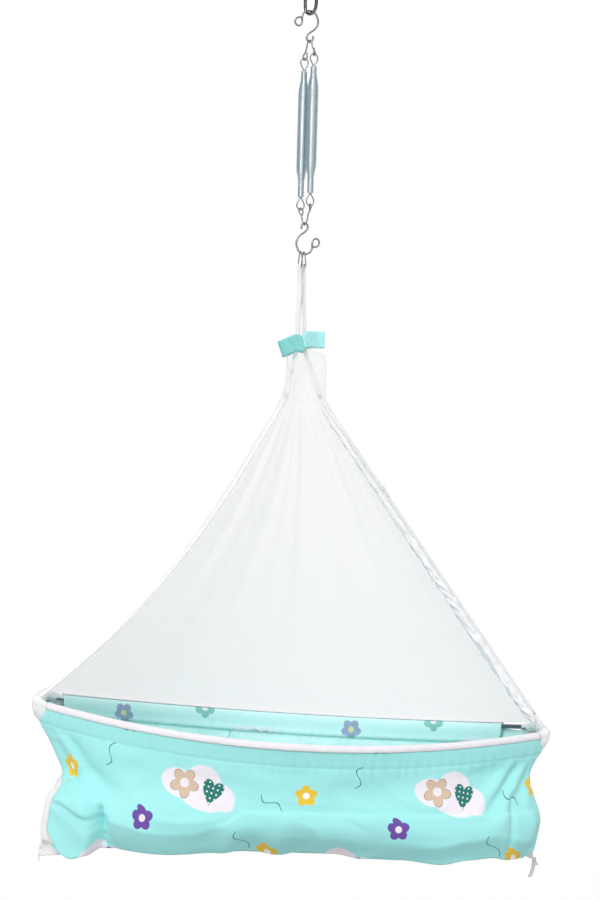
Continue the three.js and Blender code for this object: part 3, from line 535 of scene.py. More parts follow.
# The print repeats after this width and height
PRINT_WIDTH = 0.44
PRINT_HEIGHT = 0.3

CLOUD_LOBES = [
    (-0.034, -0.004, 0.033, 0.024), (0.004, 0.016, 0.03, 0.026), (0.036, -0.002, 0.03, 0.024),
    (0.006, -0.016, 0.034, 0.02),
]
PRINT_CLOUDS = [
    # middle, turn, colour of the dotted heart and of the large flower
    (0.07, 0.075, 12, "6C4BA3", "C9AE95"), (0.285, 0.215, -16, "17786C", "D8BFA6"),
]
PRINT_FLOWERS = [
    # middle, colour of the petals and of the eye
    (0.175, 0.16, "6C4BA3", "F4EDF4"), (0.385, 0.105, "F0C93A", "FFFFFF"),
    (0.15, 0.012, "179C8C", "F4EDF4"), (0.03, 0.215, "F0C93A", "FFFFFF"),
    (0.31, 0.035, "6C4BA3", "F0C93A"),
]
PRINT_LINES = [(0.2, 0.085, 25), (0.41, 0.2, -40), (0.12, 0.25, 70), (0.345, 0.125, 110)]


def printed_cotton(name, base, shade_code, fade):
    """Aqua cotton with a nursery print. With a fade its figures fade into the ground, as on the wrong
    side of the cloth; the paler ground given for the inside is partly painted light.
    """
    paint = Paint(name)
    place = paint.flat_places()
    across, along = paint.split(place)[:2]

    def at(x, y, degrees=0):
        dx = (across - x).wrapped(PRINT_WIDTH)
        dy = (along - y).wrapped(PRINT_HEIGHT)
        turn = math.radians(degrees)
        return (dx * math.cos(turn) + dy * math.sin(turn), dy * math.cos(turn) - dx * math.sin(turn))

    def lay(shade, mask, code):
        return paint.mixed(mask, shade, colour(code))

    soft = paint.cloudy(place, 9, 3)
    shade = paint.mixed(soft, colour(base), colour(shade_code))
    ground = shade
    for x, y, turn, heart_code, petal_code in PRINT_CLOUDS:
        u, v = at(x, y, turn)
        shade = lay(shade, cloud(u, v, CLOUD_LOBES), "F1EBF3")
        left = u + 0.026
        shade = lay(shade, petals(left, v + 0.001, 0.026, 5, 0.42), "8C7562")
        shade = lay(shade, petals(left, v + 0.001, 0.0248, 5, 0.42), petal_code)
        shade = lay(shade, disc(left, v + 0.001, 0.008), "F1EBF3")
        right = u - 0.024
        body = heart(right, v - 0.001, 0.027)
        spots = disc(right.wrapped(0.0085), v.wrapped(0.0085), 0.0016, 0.0006)
        shade = lay(shade, body, heart_code)
        shade = lay(shade, body * spots, "F4EDF4")
    for x, y, petal_code, eye_code in PRINT_FLOWERS:
        u, v = at(x, y, 20)
        shade = lay(shade, petals(u, v, 0.0195, 5, 0.3), petal_code)
        shade = lay(shade, disc(u, v, 0.0058), eye_code)
    for x, y, turn in PRINT_LINES:
        u, v = at(x, y, turn)
        shade = lay(shade, stroke(u, v, 0.021, 0.0075, 150, 0.0009), "2A6E6B")
    shade = paint.mixed(fade, shade, ground)
    weave = weave_height(paint, place, 0.0011)
    slub = paint.cloudy(place, 260, 2)
    return paint.fabric(shade, 0.78 + slub * 0.14, 0.25, 0.45, weave + slub, 0.25, 0.0003)


def band_cotton():
    """Plain aqua cotton. The stitched right wing is painted paler and the rest darker, painted light and
    shade, with a square and a cross of stitches.
    """
    paint = Paint("aqua band")
    place = paint.flat_places()
    across, along = paint.split(place)[:2]
    soft = paint.cloudy(place, 60, 3)
    # Painted light: the wing is painted as the lit copy of the band and the rest as its shaded copy; the
    # same mask keeps the stitches on the wing.
    painted_lit_wing = ((abs(across) - BAND_START_CUT) / 0.001 + 0.5).clamped()
    shade = paint.mixed(soft, colour("90DEDD"), colour("84D3D2"))
    shade = paint.mixed(painted_lit_wing, shade, colour("B4F8F7"))
    middle = abs(across) - (BAND_START_CUT + 0.017)
    rise = along + BAND_HEIGHT / 2
    box = abs(middle).most(abs(rise))
    frame_line = (1.2 - abs(box - 0.0105) / 0.0006).clamped()
    outer_line = (1.2 - abs(middle - 0.015) / 0.0005).clamped()
    cross = (1.2 - abs(abs(middle) - abs(rise)) / 0.0006).clamped() * ((0.0105 - box) / 0.0004).clamped()
    dashes = ((across * 2100).sin() + (along * 2100).cos() + 1.3).clamped()
    stitches = frame_line.most(outer_line).most(cross) * dashes * painted_lit_wing
    shade = paint.mixed(stitches * 0.75, shade, colour("66C9C4"))
    weave = weave_height(paint, place, 0.0011)
    raised = weave + soft - stitches * 4
    return paint.fabric(shade, 0.75 + soft * 0.15, 0.25, 0.4, raised, 0.3, 0.0003)


def pad_cotton():
    """Plain aqua cotton of the mattress and the bolster."""
    paint = Paint("aqua plain cotton")
    place = paint.coordinates()
    soft = paint.cloudy(place, 22, 3)
    weave = weave_height(paint, place, 0.0012)
    shade = paint.mixed(soft, colour("A6ECEB"), colour("98E2E1"))
    return paint.fabric(shade, 0.78 + soft * 0.14, 0.25, 0.4, weave + soft, 0.3, 0.0004)


DARK_WIRE = plated_wire("dark nickel", "98989B", "3C3B3E", 0.2)
BRIGHT_WIRE = plated_wire("bright nickel", "B4B7B8", "868989", 0.3)
SPRING_ZINC = plated_wire("blue zinc", "DCE8ED", "C8D6DC", 0.22)
ROD_GREY = plated_wire("grey rod", "8B8F96", "6A6E75", 0.35)
CORNER_PLASTIC = moulded_plastic()
WEBBING = white_cloth("white webbing", "FBFBFB", "F3F4F4", 0.0016)
COTTON = white_cloth("white cotton", "F3F4F4", "E6E9E8", 0.001)
BINDING = white_cloth("white binding", "F3F1F5", "E6E3EA", 0.001)
NET = mosquito_net()
NET_ROLL = white_cloth("rolled net", "FDFDFE", "F0F1F5", 0.0012)
PRINT = printed_cotton("aqua printed cotton", "A9F0EF", "9FE9E8", 0)
# The inside faces of the walls use a paler copy of the print: partly the faded wrong side of the cloth,
# partly painted light that brightens the shaded inside of the cradle.
PRINT_INSIDE_PAINTED_LIGHT = printed_cotton("aqua print inside painted light", "DAFCFB", "D0F6F5", 0.4)
BAND = band_cotton()
PAD_COTTON = pad_cotton()
HOOK_TAPE = white_cloth("hook tape", "E4ECEA", "D2DCDA", 0.0012)


def new_object(name, data, material):
    piece = bpy.data.objects.new(name, data)
    bpy.context.scene.collection.objects.link(piece)
    data.materials.append(material)
    return piece


def bar(name, points, diameter, material, closed=False):
    """A round bar or wire on a smooth line through the points."""
    curve = bpy.data.curves.new(name, "CURVE")
    curve.dimensions = "3D"
    curve.bevel_depth = diameter / 2
    curve.bevel_resolution = 4
    curve.resolution_u = 8
    curve.use_fill_caps = True
    line = curve.splines.new("BEZIER")
    line.bezier_points.add(len(points) - 1)
    for knot, point in zip(line.bezier_points, points):
        knot.co = point
        knot.handle_left_type = "AUTO"
        knot.handle_right_type = "AUTO"
    line.use_cyclic_u = closed
    return new_object(name, curve, material)


def grid_piece(name, rows, material, thick=0.0, cut=None):
    """A sheet on rows of points. Its places on the cut cloth run along and down, in metres."""
    across = len(rows[0])
    mesh = bpy.data.meshes.new(name)
    points = [tuple(p) for row in rows for p in row]
    faces = []
    for i in range(len(rows) - 1):
        for j in range(across - 1):
            first = i * across + j
            faces.append((first, first + across, first + across + 1, first + 1))
    mesh.from_pydata(points, [], faces)
    cuts = cut or measured(rows)
    layer = mesh.uv_layers.new(name="cut")
    for loop in mesh.loops:
        row, column = divmod(loop.vertex_index, across)
        layer.data[loop.index].uv = cuts[row][column]
    mesh.polygons.foreach_set("use_smooth", [True] * len(mesh.polygons))
    piece = new_object(name, mesh, material)
    if thick:
        solid = piece.modifiers.new("thickness", "SOLIDIFY")
        solid.thickness = thick
        solid.offset = 0
    return piece


def running(points):
    """The length of a line of points up to each of them."""
    lengths = [0]
    for a, b in zip(points, points[1:]):
        lengths.append(lengths[-1] + (b - a).length)
    return lengths


def measured(rows):
    """Places along and down a sheet, measured on the sheet itself from its middle column."""
    middle = len(rows[0]) // 2
    falls = running([row[middle] for row in rows])
    cuts = []
    for row, fall in zip(rows, falls):
        runs = running(row)
        cuts.append([(run - runs[middle], -fall) for run in runs])
    return cuts


def spline(points, count):
    """Evenly spread places on a smooth line through the points."""
    points = [Vector(p) for p in points]
    spans = len(points) - 1

    def knot(i):
        return points[min(max(i, 0), spans)]

    dense = []
    for i in range(spans):
        a, b, c, d = (knot(i + k) for k in (-1, 0, 1, 2))
        for k in range(16):
            t = k / 16
            dense.append(0.5 * (2 * b + (c - a) * t + (2 * a - 5 * b + 4 * c - d) * t * t
                                + (3 * b - a - 3 * c + d) * t ** 3))
    dense.append(knot(spans))
    lengths = running(dense)
    places = []
    j = 0
    for i in range(count):
        want = lengths[-1] * i / (count - 1)
        while j < len(lengths) - 2 and lengths[j + 1] < want:
            j += 1
        share = (want - lengths[j]) / max(lengths[j + 1] - lengths[j], 1e-9)
        places.append(dense[j].lerp(dense[j + 1], min(share, 1)))
    return places


# Camera and the tie cord come first
camera_data = bpy.data.cameras.new("camera")
camera_data.lens = CAMERA_LENS
camera_data.sensor_width = CAMERA_SENSOR
camera_data.clip_end = 200
camera = bpy.data.objects.new("camera", camera_data)
bpy.context.scene.collection.objects.link(camera)
look = Matrix.Rotation(math.pi / 2, 4, "X") @ Matrix.Rotation(math.radians(CAMERA_ROLL), 4, "Z")
camera.matrix_world = Matrix.Translation(CAMERA_PLACE) @ look
bpy.context.scene.camera = camera

CORD_DIAMETER = 0.002
END_TAIL = 0.02
TIE_SET = 0.046
TAIL_FOOT = BASE_Z - END_TAIL - 2 * FIT
TAIL_X = end_reach(1) + END_TAIL / 2
CORD_ROUTE = [
    (0, 0, 0), (0, 0, -0.006), (-0.001, -0.0005, -0.012), (-0.0015, -0.0015, -0.018),
    (-0.001, -0.0025, -0.024), (0.0005, -0.003, -0.03),
]


def tie_cord():
    start = Vector((-TAIL_X, -TIE_SET, TAIL_FOOT))
    route = [start + Vector(p) for p in CORD_ROUTE]
    line = spline(route, 24)
    cord = bar("tie-cord", line, CORD_DIAMETER, COTTON)
    length = running(line)[-1]
    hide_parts("tie_cord_left")
    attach(cord, "cradle")


tie_cord()


# The wire pieces
def top_link():
    place = upright(LINK_YAW)
    radius = (LINK_WIDTH - LINK_WIRE) / 2
    straight = (LINK_LENGTH - LINK_WIDTH) / 2
    points = []
    for half in (1, -1):
        for i in range(7):
            turn = math.pi * i / 6
            up = LINK_MIDDLE + half * (straight + radius * math.sin(turn))
            points.append(place(half * radius * math.cos(turn), up))
    link = bar("top-link", points, LINK_WIRE, DARK_WIRE, closed=True)
    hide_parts("top_link")
    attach(link, "ceiling_link")


# A hook is an S of wire: a curled eye, the large bow, and the small bow at the other end. Each
# pair is a share of the reach across and of the drop down.
HOOK_SHARES = [
    (-1.2, -0.245), (-1.62, -0.26), (-1.93, -0.35), (-1.9, -0.46), (-1.6, -0.52), (-1.26, -0.49),
    (-1.07, -0.37), (-1.06, -0.24), (-0.94, -0.12), (-0.7, -0.05), (-0.35, -0.01), (0, 0),
    (0.47, -0.036), (0.84, -0.16), (1, -0.357), (0.66, -0.554), (-0.125, -0.732), (-0.41, -0.848),
    (-0.31, -0.955), (0, -1), (0.31, -0.95), (0.41, -0.8),
]


def hook(name, node, body, top, turned):
    place = upright(HOOK_YAW)
    points = []
    for across, up in HOOK_SHARES:
        high = top - HOOK_DROP * (1 + up) if turned else top + HOOK_DROP * up
        points.append(place((-1 if turned else 1) * across * HOOK_REACH, high))
    piece = bar(name, points, HOOK_ROUND, BRIGHT_WIRE)
    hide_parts(node)
    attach(piece, body)


# A leg's shoulder, as a share of the bend's drop, and its knee, as shares of its width and length
SHOULDER_SHARE = 0.62
KNEE_SHARES = (0.58, 0.52)


def yoke_leg(side, leg):
    """A straight leg, its hook and the end that comes back up behind it."""
    end = SPRING_SPACING / 2
    radius = LEG_HOOK_RADIUS
    return [
        (side * YOKE_BEND, -YOKE_BEND * SHOULDER_SHARE, 0),
        (side * (end + radius) * KNEE_SHARES[0], -leg * KNEE_SHARES[1], 0),
        (side * (end + radius), radius - leg, 0),
        (side * end, -leg, 0.2),
        (side * (end - radius), radius - leg, 0.7),
        (side * (end - radius * 0.8), LEG_HOOK_RETURN - leg, 1),
    ]


def yoke(name, node, body, apex, up, right_leg):
    left_leg = right_leg + up * LEG_STEP
    outline = [*reversed(yoke_leg(-1, left_leg)), (0, 0, 0), *yoke_leg(1, right_leg)]
    place = upright(YOKE_YAW)
    behind = upright(YOKE_YAW + 90)(YOKE_ROUND * 1.1, 0)
    points = [place(across, apex + up * high) + behind * deep for across, high, deep in outline]
    piece = bar(name, points, YOKE_ROUND, BRIGHT_WIRE)
    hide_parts(node)
    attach(piece, body)


# Both ends of a spring eye's loop go into the spring. Each pair is a share of its half width and drop.
EYE_SHARES = [
    (0.15, -1.42), (0.16, -1), (0.42, -0.8), (0.9, -0.5), (0.86, -0.2), (0.4, -0.03), (0, 0),
    (-0.4, -0.03), (-0.86, -0.2), (-0.9, -0.5), (-0.42, -0.8), (-0.16, -1), (-0.15, -1.3),
]


def spring_eye(name, node, body, side, top, up):
    middle = upright(YOKE_YAW)(side * SPRING_SPACING / 2, 0)
    place = upright(EYE_YAW)
    step = -LEG_STEP if side < 0 else 0
    loop = [(across * EYE_HALF_WIDTH, down * EYE_DROP) for across, down in EYE_SHARES]
    points = [place(across, top + step + up * down) + middle for across, down in loop]
    piece = bar(name, points, EYE_ROUND, BRIGHT_WIRE)
    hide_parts(node)
    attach(piece, body)


def tube_mesh(name, centres, radius, sides, material):
    """An even tube along a line, with closed ends."""
    mesh = bpy.data.meshes.new(name)
    points = []
    faces = []
    up = Vector((0, 0, 1))
    last = len(centres) - 1
    for i, centre in enumerate(centres):
        ahead = (centres[min(i + 1, last)] - centres[max(i - 1, 0)]).normalized()
        out = ahead.cross(up).normalized()
        rise = out.cross(ahead)
        for k in range(sides):
            turn = 2 * math.pi * k / sides
            points.append(centre + (out * math.cos(turn) + rise * math.sin(turn)) * radius)
    for i in range(last):
        for k in range(sides):
            n = (k + 1) % sides
            faces.append((i * sides + k, (i + 1) * sides + k, (i + 1) * sides + n, i * sides + n))
    faces.append(tuple(range(sides)))
    faces.append(tuple(reversed(range(last * sides, last * sides + sides))))
    mesh.from_pydata([tuple(p) for p in points], [], faces)
    mesh.polygons.foreach_set("use_smooth", [True] * len(mesh.polygons))
    return new_object(name, mesh, material)


def spring(side, name, node):
    """A close spring whose ends taper, from the upper eye down to the lower eye."""
    middle = upright(YOKE_YAW)(side * SPRING_SPACING / 2, 0)
    top = SPRING_TOP + (-LEG_STEP if side < 0 else 0)
    wide = (SPRING_OUTER - SPRING_WIRE) / 2
    narrow = (SPRING_NARROW - SPRING_WIRE) / 2
    steps = SPRING_CURLS * CURL_STEPS
    travel = SPRING_LENGTH - SPRING_WIRE
    centres = []
    for i in range(steps + 1):
        fall = travel * i / steps
        opening = min(smooth(fall, SPRING_UPPER_NECK, SPRING_UPPER_TAPER),
                      smooth(travel - fall, SPRING_LOWER_NECK, SPRING_LOWER_TAPER))
        radius = mix(narrow, wide, opening)
        turn = 2 * math.pi * i / CURL_STEPS
        centres.append(Vector((
            middle.x + radius * math.cos(turn),
            middle.y + radius * math.sin(turn),
            top - SPRING_WIRE / 2 - fall,
        )))
    coil = tube_mesh(name, centres, SPRING_WIRE / 2, CURL_SIDES, SPRING_ZINC)
    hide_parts(node)
    top - SPRING_LENGTH
    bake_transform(coil)


LOOP_SHARES = [
    (0, 1), (0.4, 0.94), (0.74, 0.55), (1, 0.14), (0.93, 0), (0, 0), (-0.93, 0), (-1, 0.14),
    (-0.74, 0.55), (-0.4, 0.94),
]
# The loops hang a little to one side
LOOP_SHIFT = Vector((-0.0028, 0, 0.0003))


def wire_loop(side, name, node):
    place = upright(LOOP_YAW, side * LOOP_SPACING / 2)
    half = (LOOP_WIDTH - LOOP_WIRE) / 2
    height = LOOP_TOP - LOOP_FOOT
    points = [place(across * half, LOOP_FOOT + up * height) + LOOP_SHIFT for across, up in LOOP_SHARES]
    piece = bar(name, points, LOOP_ROUND, BRIGHT_WIRE, closed=True)
    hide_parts(node)
    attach(piece, "cradle")


top_link()
hook("upper-hook", "upper_hook", "upper_hook", HOOK_TOP, False)
hook("lower-hook", "lower_hook", "lower_hook", LOWER_HOOK_TOP, True)
yoke("upper-yoke", "upper_yoke", "spring_head", UPPER_YOKE_APEX, 1, UPPER_LEG)
yoke("lower-yoke", "lower_yoke", "spring_foot", LOWER_YOKE_APEX, -1, LOWER_LEG)
for side, word in ((-1, "left"), (1, "right")):
    spring_eye(f"upper-eye-{word}", f"upper_eye_{word}", "spring_head", side, UPPER_EYE_TOP, 1)
    spring_eye(f"lower-eye-{word}", f"lower_eye_{word}", "spring_foot", side, LOWER_EYE_FOOT, -1)
    spring(side, f"spring-{word}", f"spring_{word}")
    wire_loop(side, f"wire-loop-{word}", f"wire_loop_{word}")


# Webbing: each strap is a ribbon that cups a little and creases where it is gathered
def strap(name, places, material, node, flat, seed, width=STRAP_WIDTH, cup=0.0):
    rows = []
    for i, (point, across) in enumerate(places):
        half = across.normalized()
        ahead = places[min(i + 1, len(places) - 1)][0] - places[max(i - 1, 0)][0]
        out = half.cross(ahead).normalized()
        row = []
        for j in range(9):
            share = j / 4 - 1
            crease = 0.0004 * drift(share * 2.2, i * 0.35, seed)
            row.append(point + half * (share * width / 2) + out * (cup * (1 - share * share) + crease))
        rows.append(row)
    piece = grid_piece(name, rows, material, thick=0.0011)
    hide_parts(node)
    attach(piece, "cradle")
    return piece


def strap_length(places):
    return round(running([point for point, across in places])[-1], 3)


def edge_strap(side, end, name):
    places = [(edge_point(side, end, i / 40), edge_across(side, end)) for i in range(41)]
    strap(f"edge-strap-{name.replace('_', '-')}", places, WEBBING, f"edge_strap_{name}",
          flat=(STRAP_WIDTH, strap_length(places)), seed=side + end * 3.1)


CORNERS = [
    (-1, -1, "front_left"), (-1, 1, "front_right"), (1, -1, "back_left"), (1, 1, "back_right"),
]
for side, end, name in CORNERS:
    edge_strap(side, end, name)

STRAP_TOP = LOOP_FOOT + LOOP_WIRE / 2 + FIT + STRAP_THICK / 2
LEG_OFFSET = LOOP_WIRE / 2 + FIT + STRAP_THICK / 2
# At the band the two legs of a strap lie close, and each strap is turned this far
STRAP_SPREAD = 0.0062
LEG_GAP = 0.0007
LOWER_YAWS = {-1: -42, 1: -58}


def hanging_strap(end, name):
    """A strap doubled over the foot of its wire loop, whose legs go down inside the neck."""
    loop_line = upright(HOOK_YAW)
    middle = end * LOOP_SPACING / 2
    high = loop_line(middle, STRAP_TOP - LEG_OFFSET) + LOOP_SHIFT
    low = Vector((end * STRAP_SPREAD - 0.001, 0, BAND_TOP - BAND_HEIGHT))

    def leg(side):
        foot = edge_point(side, end, 0)
        places = []
        for i in range(19):
            down = i / 18
            yaw = mix(LOOP_YAW, LOWER_YAWS[end], smooth(down, 0, 0.25))
            across = upright(yaw)(1, 0)
            normal = upright(yaw + 90)(1, 0)
            room = mix(LEG_OFFSET, LEG_GAP, smooth(down, 0, 0.12))
            wave = 0.0012 * math.sin(down * 9 + end * 1.3) * math.sin(math.pi * down)
            places.append((high.lerp(low, down) + normal * (side * room) + across * wave, across))
        start, across = places[-1]
        for i in range(1, 9):
            down = i / 8
            point = start.lerp(foot, down)
            point.z = mix(start.z, foot.z + FIT, down)
            places.append((point, across.lerp(edge_across(side, end), down)))
        return places

    bend = []
    across = upright(LOOP_YAW)(1, 0)
    for i in range(1, 6):
        turn = math.pi * i / 6
        place = loop_line(middle + end * LEG_OFFSET * math.cos(turn), STRAP_TOP - LEG_OFFSET)
        place += LOOP_SHIFT
        place.z += LEG_OFFSET * math.sin(turn)
        bend.append((place, across))
    places = [*reversed(leg(end)), *bend, *leg(-end)]
    strap(f"hanging-strap-{name}", places, WEBBING, f"hanging_strap_{name}",
          flat=(STRAP_WIDTH, strap_length(places)), seed=5 + end)


for end, name in ((-1, "left"), (1, "right")):
    hanging_strap(end, name)

# The band that ties the neck: one strip, folded, with a drooping left wing
WING_HALF_GAP = PATCH_THICK + BAND_THICK / 2 + 1.5 * FIT
BAND_SHARES = [
    (0.97, 0), (0.6, 0.25), (0.22, 0.95), (0, 1), (-0.22, 0.98), (-0.62, 0.86), (-0.9, 0.5),
]
# The drop of the band's middle line along its length: a sloping left part, a fold, a level wing
BAND_LINE = [
    (-0.043, -0.0225), (-0.026, -0.0145), (-0.01, -0.0065), (0.003, -0.009), (0.0085, -0.0005),
    (0.013, 0), (0.043, 0),
]


def band_height(x):
    for (x0, z0), (x1, z1) in zip(BAND_LINE, BAND_LINE[1:]):
        if x <= x1:
            return BAND_TOP - BAND_HEIGHT / 2 + mix(z0, z1, (x - x0) / (x1 - x0))
    return BAND_TOP - BAND_HEIGHT / 2


def band_place(across, depth, side):
    x = across * BAND_HALF_LENGTH * (LEFT_WING_SHARE if across < 0 else 1)
    return Vector((x, side * mix(WING_HALF_GAP, BAND_HALF_DEPTH, depth), band_height(x)))


def tie_band():
    front = [band_place(x, y, -1) for x, y in BAND_SHARES]
    back = [band_place(x, y, 1) for x, y in reversed(BAND_SHARES)]
    left = -BAND_HALF_LENGTH * LEFT_WING_SHARE
    fold = Vector((left, 0, band_height(left)))
    line = spline([*front, fold, *back], 140)
    for point in line:
        point.z = band_height(point.x)
    rows = []
    for j in range(9):
        up = (1 - j / 4) * BAND_HEIGHT / 2
        row = []
        for i, point in enumerate(line):
            out = Vector((point.x * 0.2, point.y, 0)).normalized()
            soft = 0.0009 * drift(i * 0.1, j * 0.35, 2) * smooth(0.03 - abs(point.x), 0, 0.02)
            crease = 0.0012 * bump(point.x, -0.019 - up * 0.25, 0.0035)
            tilt = BAND_TILT * (1 - smooth(point.x, -0.02, -0.006))
            back_rise = 0.0018 * smooth(point.y, 0, 0.008) * smooth(-point.x, 0.02, 0.04)
            place = point + out * (soft - crease)
            place += Vector((-up * math.sin(tilt), 0, up * math.cos(tilt) + back_rise))
            row.append(place)
        rows.append(row)
    piece = grid_piece("tie-band", rows, BAND, thick=BAND_THICK * 0.8)
    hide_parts("tie_band")
    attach(piece, "cradle")
    length = running(line)[-1]


tie_band()


def tape_patch(side, name, node):
    """A square of hook or loop tape with a stitched edge, inside the band's right wing."""
    length = PATCH_SIZE * 0.8
    middle_x = BAND_HALF_LENGTH - length * 0.7
    y = side * (FIT / 2 + PATCH_THICK / 2)
    rows = []
    for i in range(13):
        row = []
        for j in range(11):
            edge = min(i, 12 - i, j, 10 - j)
            dip = -0.0002 if edge == 1 else 0
            x = middle_x + (j / 10 - 0.5) * length
            z = BAND_TOP - BAND_HEIGHT / 2 + (0.5 - i / 12) * PATCH_SIZE
            row.append(Vector((x, y + side * dip, z)))
        rows.append(row)
    piece = grid_piece(name, rows, HOOK_TAPE, thick=PATCH_THICK * 0.8)
    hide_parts(node)
    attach(piece, "cradle")


tape_patch(-1, "hook-tape-patch", "hook_tape_patch")
tape_patch(1, "loop-tape-patch", "loop_tape_patch")

# The canopy is one sheet of net: gathered into a tube in the band, open in front below it, and
# spread to the rim. Its sides start at the front left hem and go round the back to the right hem.
SIDE_COLUMNS = (10, 26, 200, 26, 10)
SEAM_SHARES = (0.037, 0.132, 0.868, 0.963)
NECK_ROWS = 30
NET_ROWS = 90
FINE_FOLDS = 31
FINE_DEPTH = 0.0005
BROAD_FOLDS = 15
BROAD_DEPTH = 0.0034
WIDE_FOLDS = 6.5
WIDE_DEPTH = 0.006
NECK_DEPTH = 0.0013


def rounded(x, y, half_x, half_y, radius):
    """A place on a box's outline moved onto the rounded outline, and the way out from it."""
    inner = Vector((
        min(max(x, radius - half_x), half_x - radius),
        min(max(y, radius - half_y), half_y - radius),
    ))
    away = Vector((x, y)) - inner
    out = away.normalized()
    place = inner + out * radius
    return place, out


def net_columns():
    """The side that each column lies on, its share along that side, and its share of them all."""
    columns = []
    total = sum(SIDE_COLUMNS)
    done = 0
    for side, count in enumerate(SIDE_COLUMNS):
        steps = count + (1 if side == 4 else 0)
        for k in range(steps):
            columns.append((side, k / count, (done + k) / total))
        done += count
    return columns


def net_folds(share, down, neck):
    """How far the net stands out in its folds."""
    wander = drift(share * 5, down * 1.5, 7) * 1.2
    fine = math.sin(2 * math.pi * FINE_FOLDS * share + wander * 2)
    broad = math.sin(2 * math.pi * BROAD_FOLDS * share + wander * 3 + 1)
    wide = math.sin(2 * math.pi * WIDE_FOLDS * share + wander * 2)
    if neck < 1:
        return FINE_DEPTH * fine + NECK_DEPTH * neck * broad
    fade = (1 - down) * smooth(1 - down, 0, 0.3)
    start = smooth(down, 0, 0.12)
    return (FINE_DEPTH * fine * fade + mix(NECK_DEPTH, BROAD_DEPTH, start) * broad * fade
            + WIDE_DEPTH * wide * start * fade)


def neck_form(level):
    """The net's outline in the neck: its half sizes, corner radius, middle and height."""
    height = mix(NECK_TOP, NECK_BOTTOM, level)
    drop = NECK_SHOULDER - height
    wide = NECK_HALF_WIDTH + NECK_ROOM
    left_x = mix(-NECK_TOP_RADIUS, -NECK_LEFT, smooth(drop, -0.004, 0.012))
    left_x = mix(left_x, NECK_SHIFT - wide, smooth(drop, 0.045, 0.1) * 1.1)
    right_x = mix(NECK_TOP_RADIUS, NECK_SHIFT + wide, smooth(drop, -0.002, 0.008))
    half_y = mix(NECK_TOP_RADIUS, NECK_HALF_DEPTH + NECK_ROOM, smooth(drop, 0, 0.03))
    radius = mix(NECK_TOP_RADIUS, 0.012, smooth(drop, 0, 0.02))
    return (right_x - left_x) / 2, half_y, radius, (left_x + right_x) / 2, height


def tent_form(down):
    """The net's outline below the neck, just outside the straps."""
    left = edge_point(1, -1, down)
    right = edge_point(1, 1, down)
    room = mix(NECK_ROOM, NET_ROOM, smooth(down, 0, 0.06))
    half_x = (right.x - left.x) / 2 + room
    radius = mix(0.012, 0.006, smooth(down, 0, 0.1))
    return half_x, left.y + room, radius, (left.x + right.x) / 2, (left.z + right.z) / 2


def net_corner(side, along, height, half_x, half_y, middle):
    """A place on the square outline. The sides 0 and 4 are the front hems, beside the opening."""
    if side == 1:
        return -half_x, mix(-half_y, half_y, along)
    if side == 2:
        return mix(-half_x, half_x, along), half_y
    if side == 3:
        return half_x, mix(half_y, -half_y, along)
    foot = OPENING_LEFT_FOOT if side == 0 else OPENING_RIGHT_FOOT
    opening = smooth(OPENING_APEX - height, 0, OPENING_APEX - foot)
    if side == 0:
        inner = mix(-middle, HEM_WIDTH - half_x, opening)
        return mix(inner, -half_x, along), -half_y
    inner = mix(-middle, half_x - HEM_WIDTH, opening)
    return mix(half_x, inner, along), -half_y


def net_place(column, level):
    """Level runs from 0 to 1 down the neck, and from 1 to 2 from the neck to the rim."""
    side, along, share = column
    down = max(level - 1, 0)
    form = neck_form(level) if level < 1 else tent_form(down)
    half_x, half_y, radius, middle, height = form
    x, y = net_corner(side, along, height, half_x, half_y, middle)
    place, out = rounded(x, y, half_x, half_y, radius)
    across = place.x / half_x
    fold = net_folds(share, down, min(level, 1))
    if level > 1:
        seam = min(abs(share - s) for s in SEAM_SHARES)
        fold *= mix(1, smooth(seam, 0.004, 0.03), smooth(down, 0, 0.02))
    place = place + out * fold
    z = height
    if level >= 1:
        z += (edge_point(1, 1, down).z - edge_point(1, -1, down).z) / 2 * across
    if side == 2 and level > 1:
        bow = (1 - across * across) * down
        place.y += (RIM_HALF_WIDTH - END_HALF_WIDTH) * bow
        z = mix(NECK_BOTTOM, rim_point(1, across).z + RIM_TOP - 0.001, down)
    return Vector((place.x + middle, place.y, z))


def canopy():
    columns = net_columns()
    levels = [i / NECK_ROWS for i in range(NECK_ROWS)]
    levels += [1 + i / NET_ROWS for i in range(NET_ROWS + 1)]
    rows = [[net_place(column, level) for column in columns] for level in levels]
    piece = grid_piece("canopy-net", rows, NET)
    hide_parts("canopy_neck", "canopy_back_net", "canopy_left_net", "canopy_right_net")
    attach(piece, "cradle")


canopy()


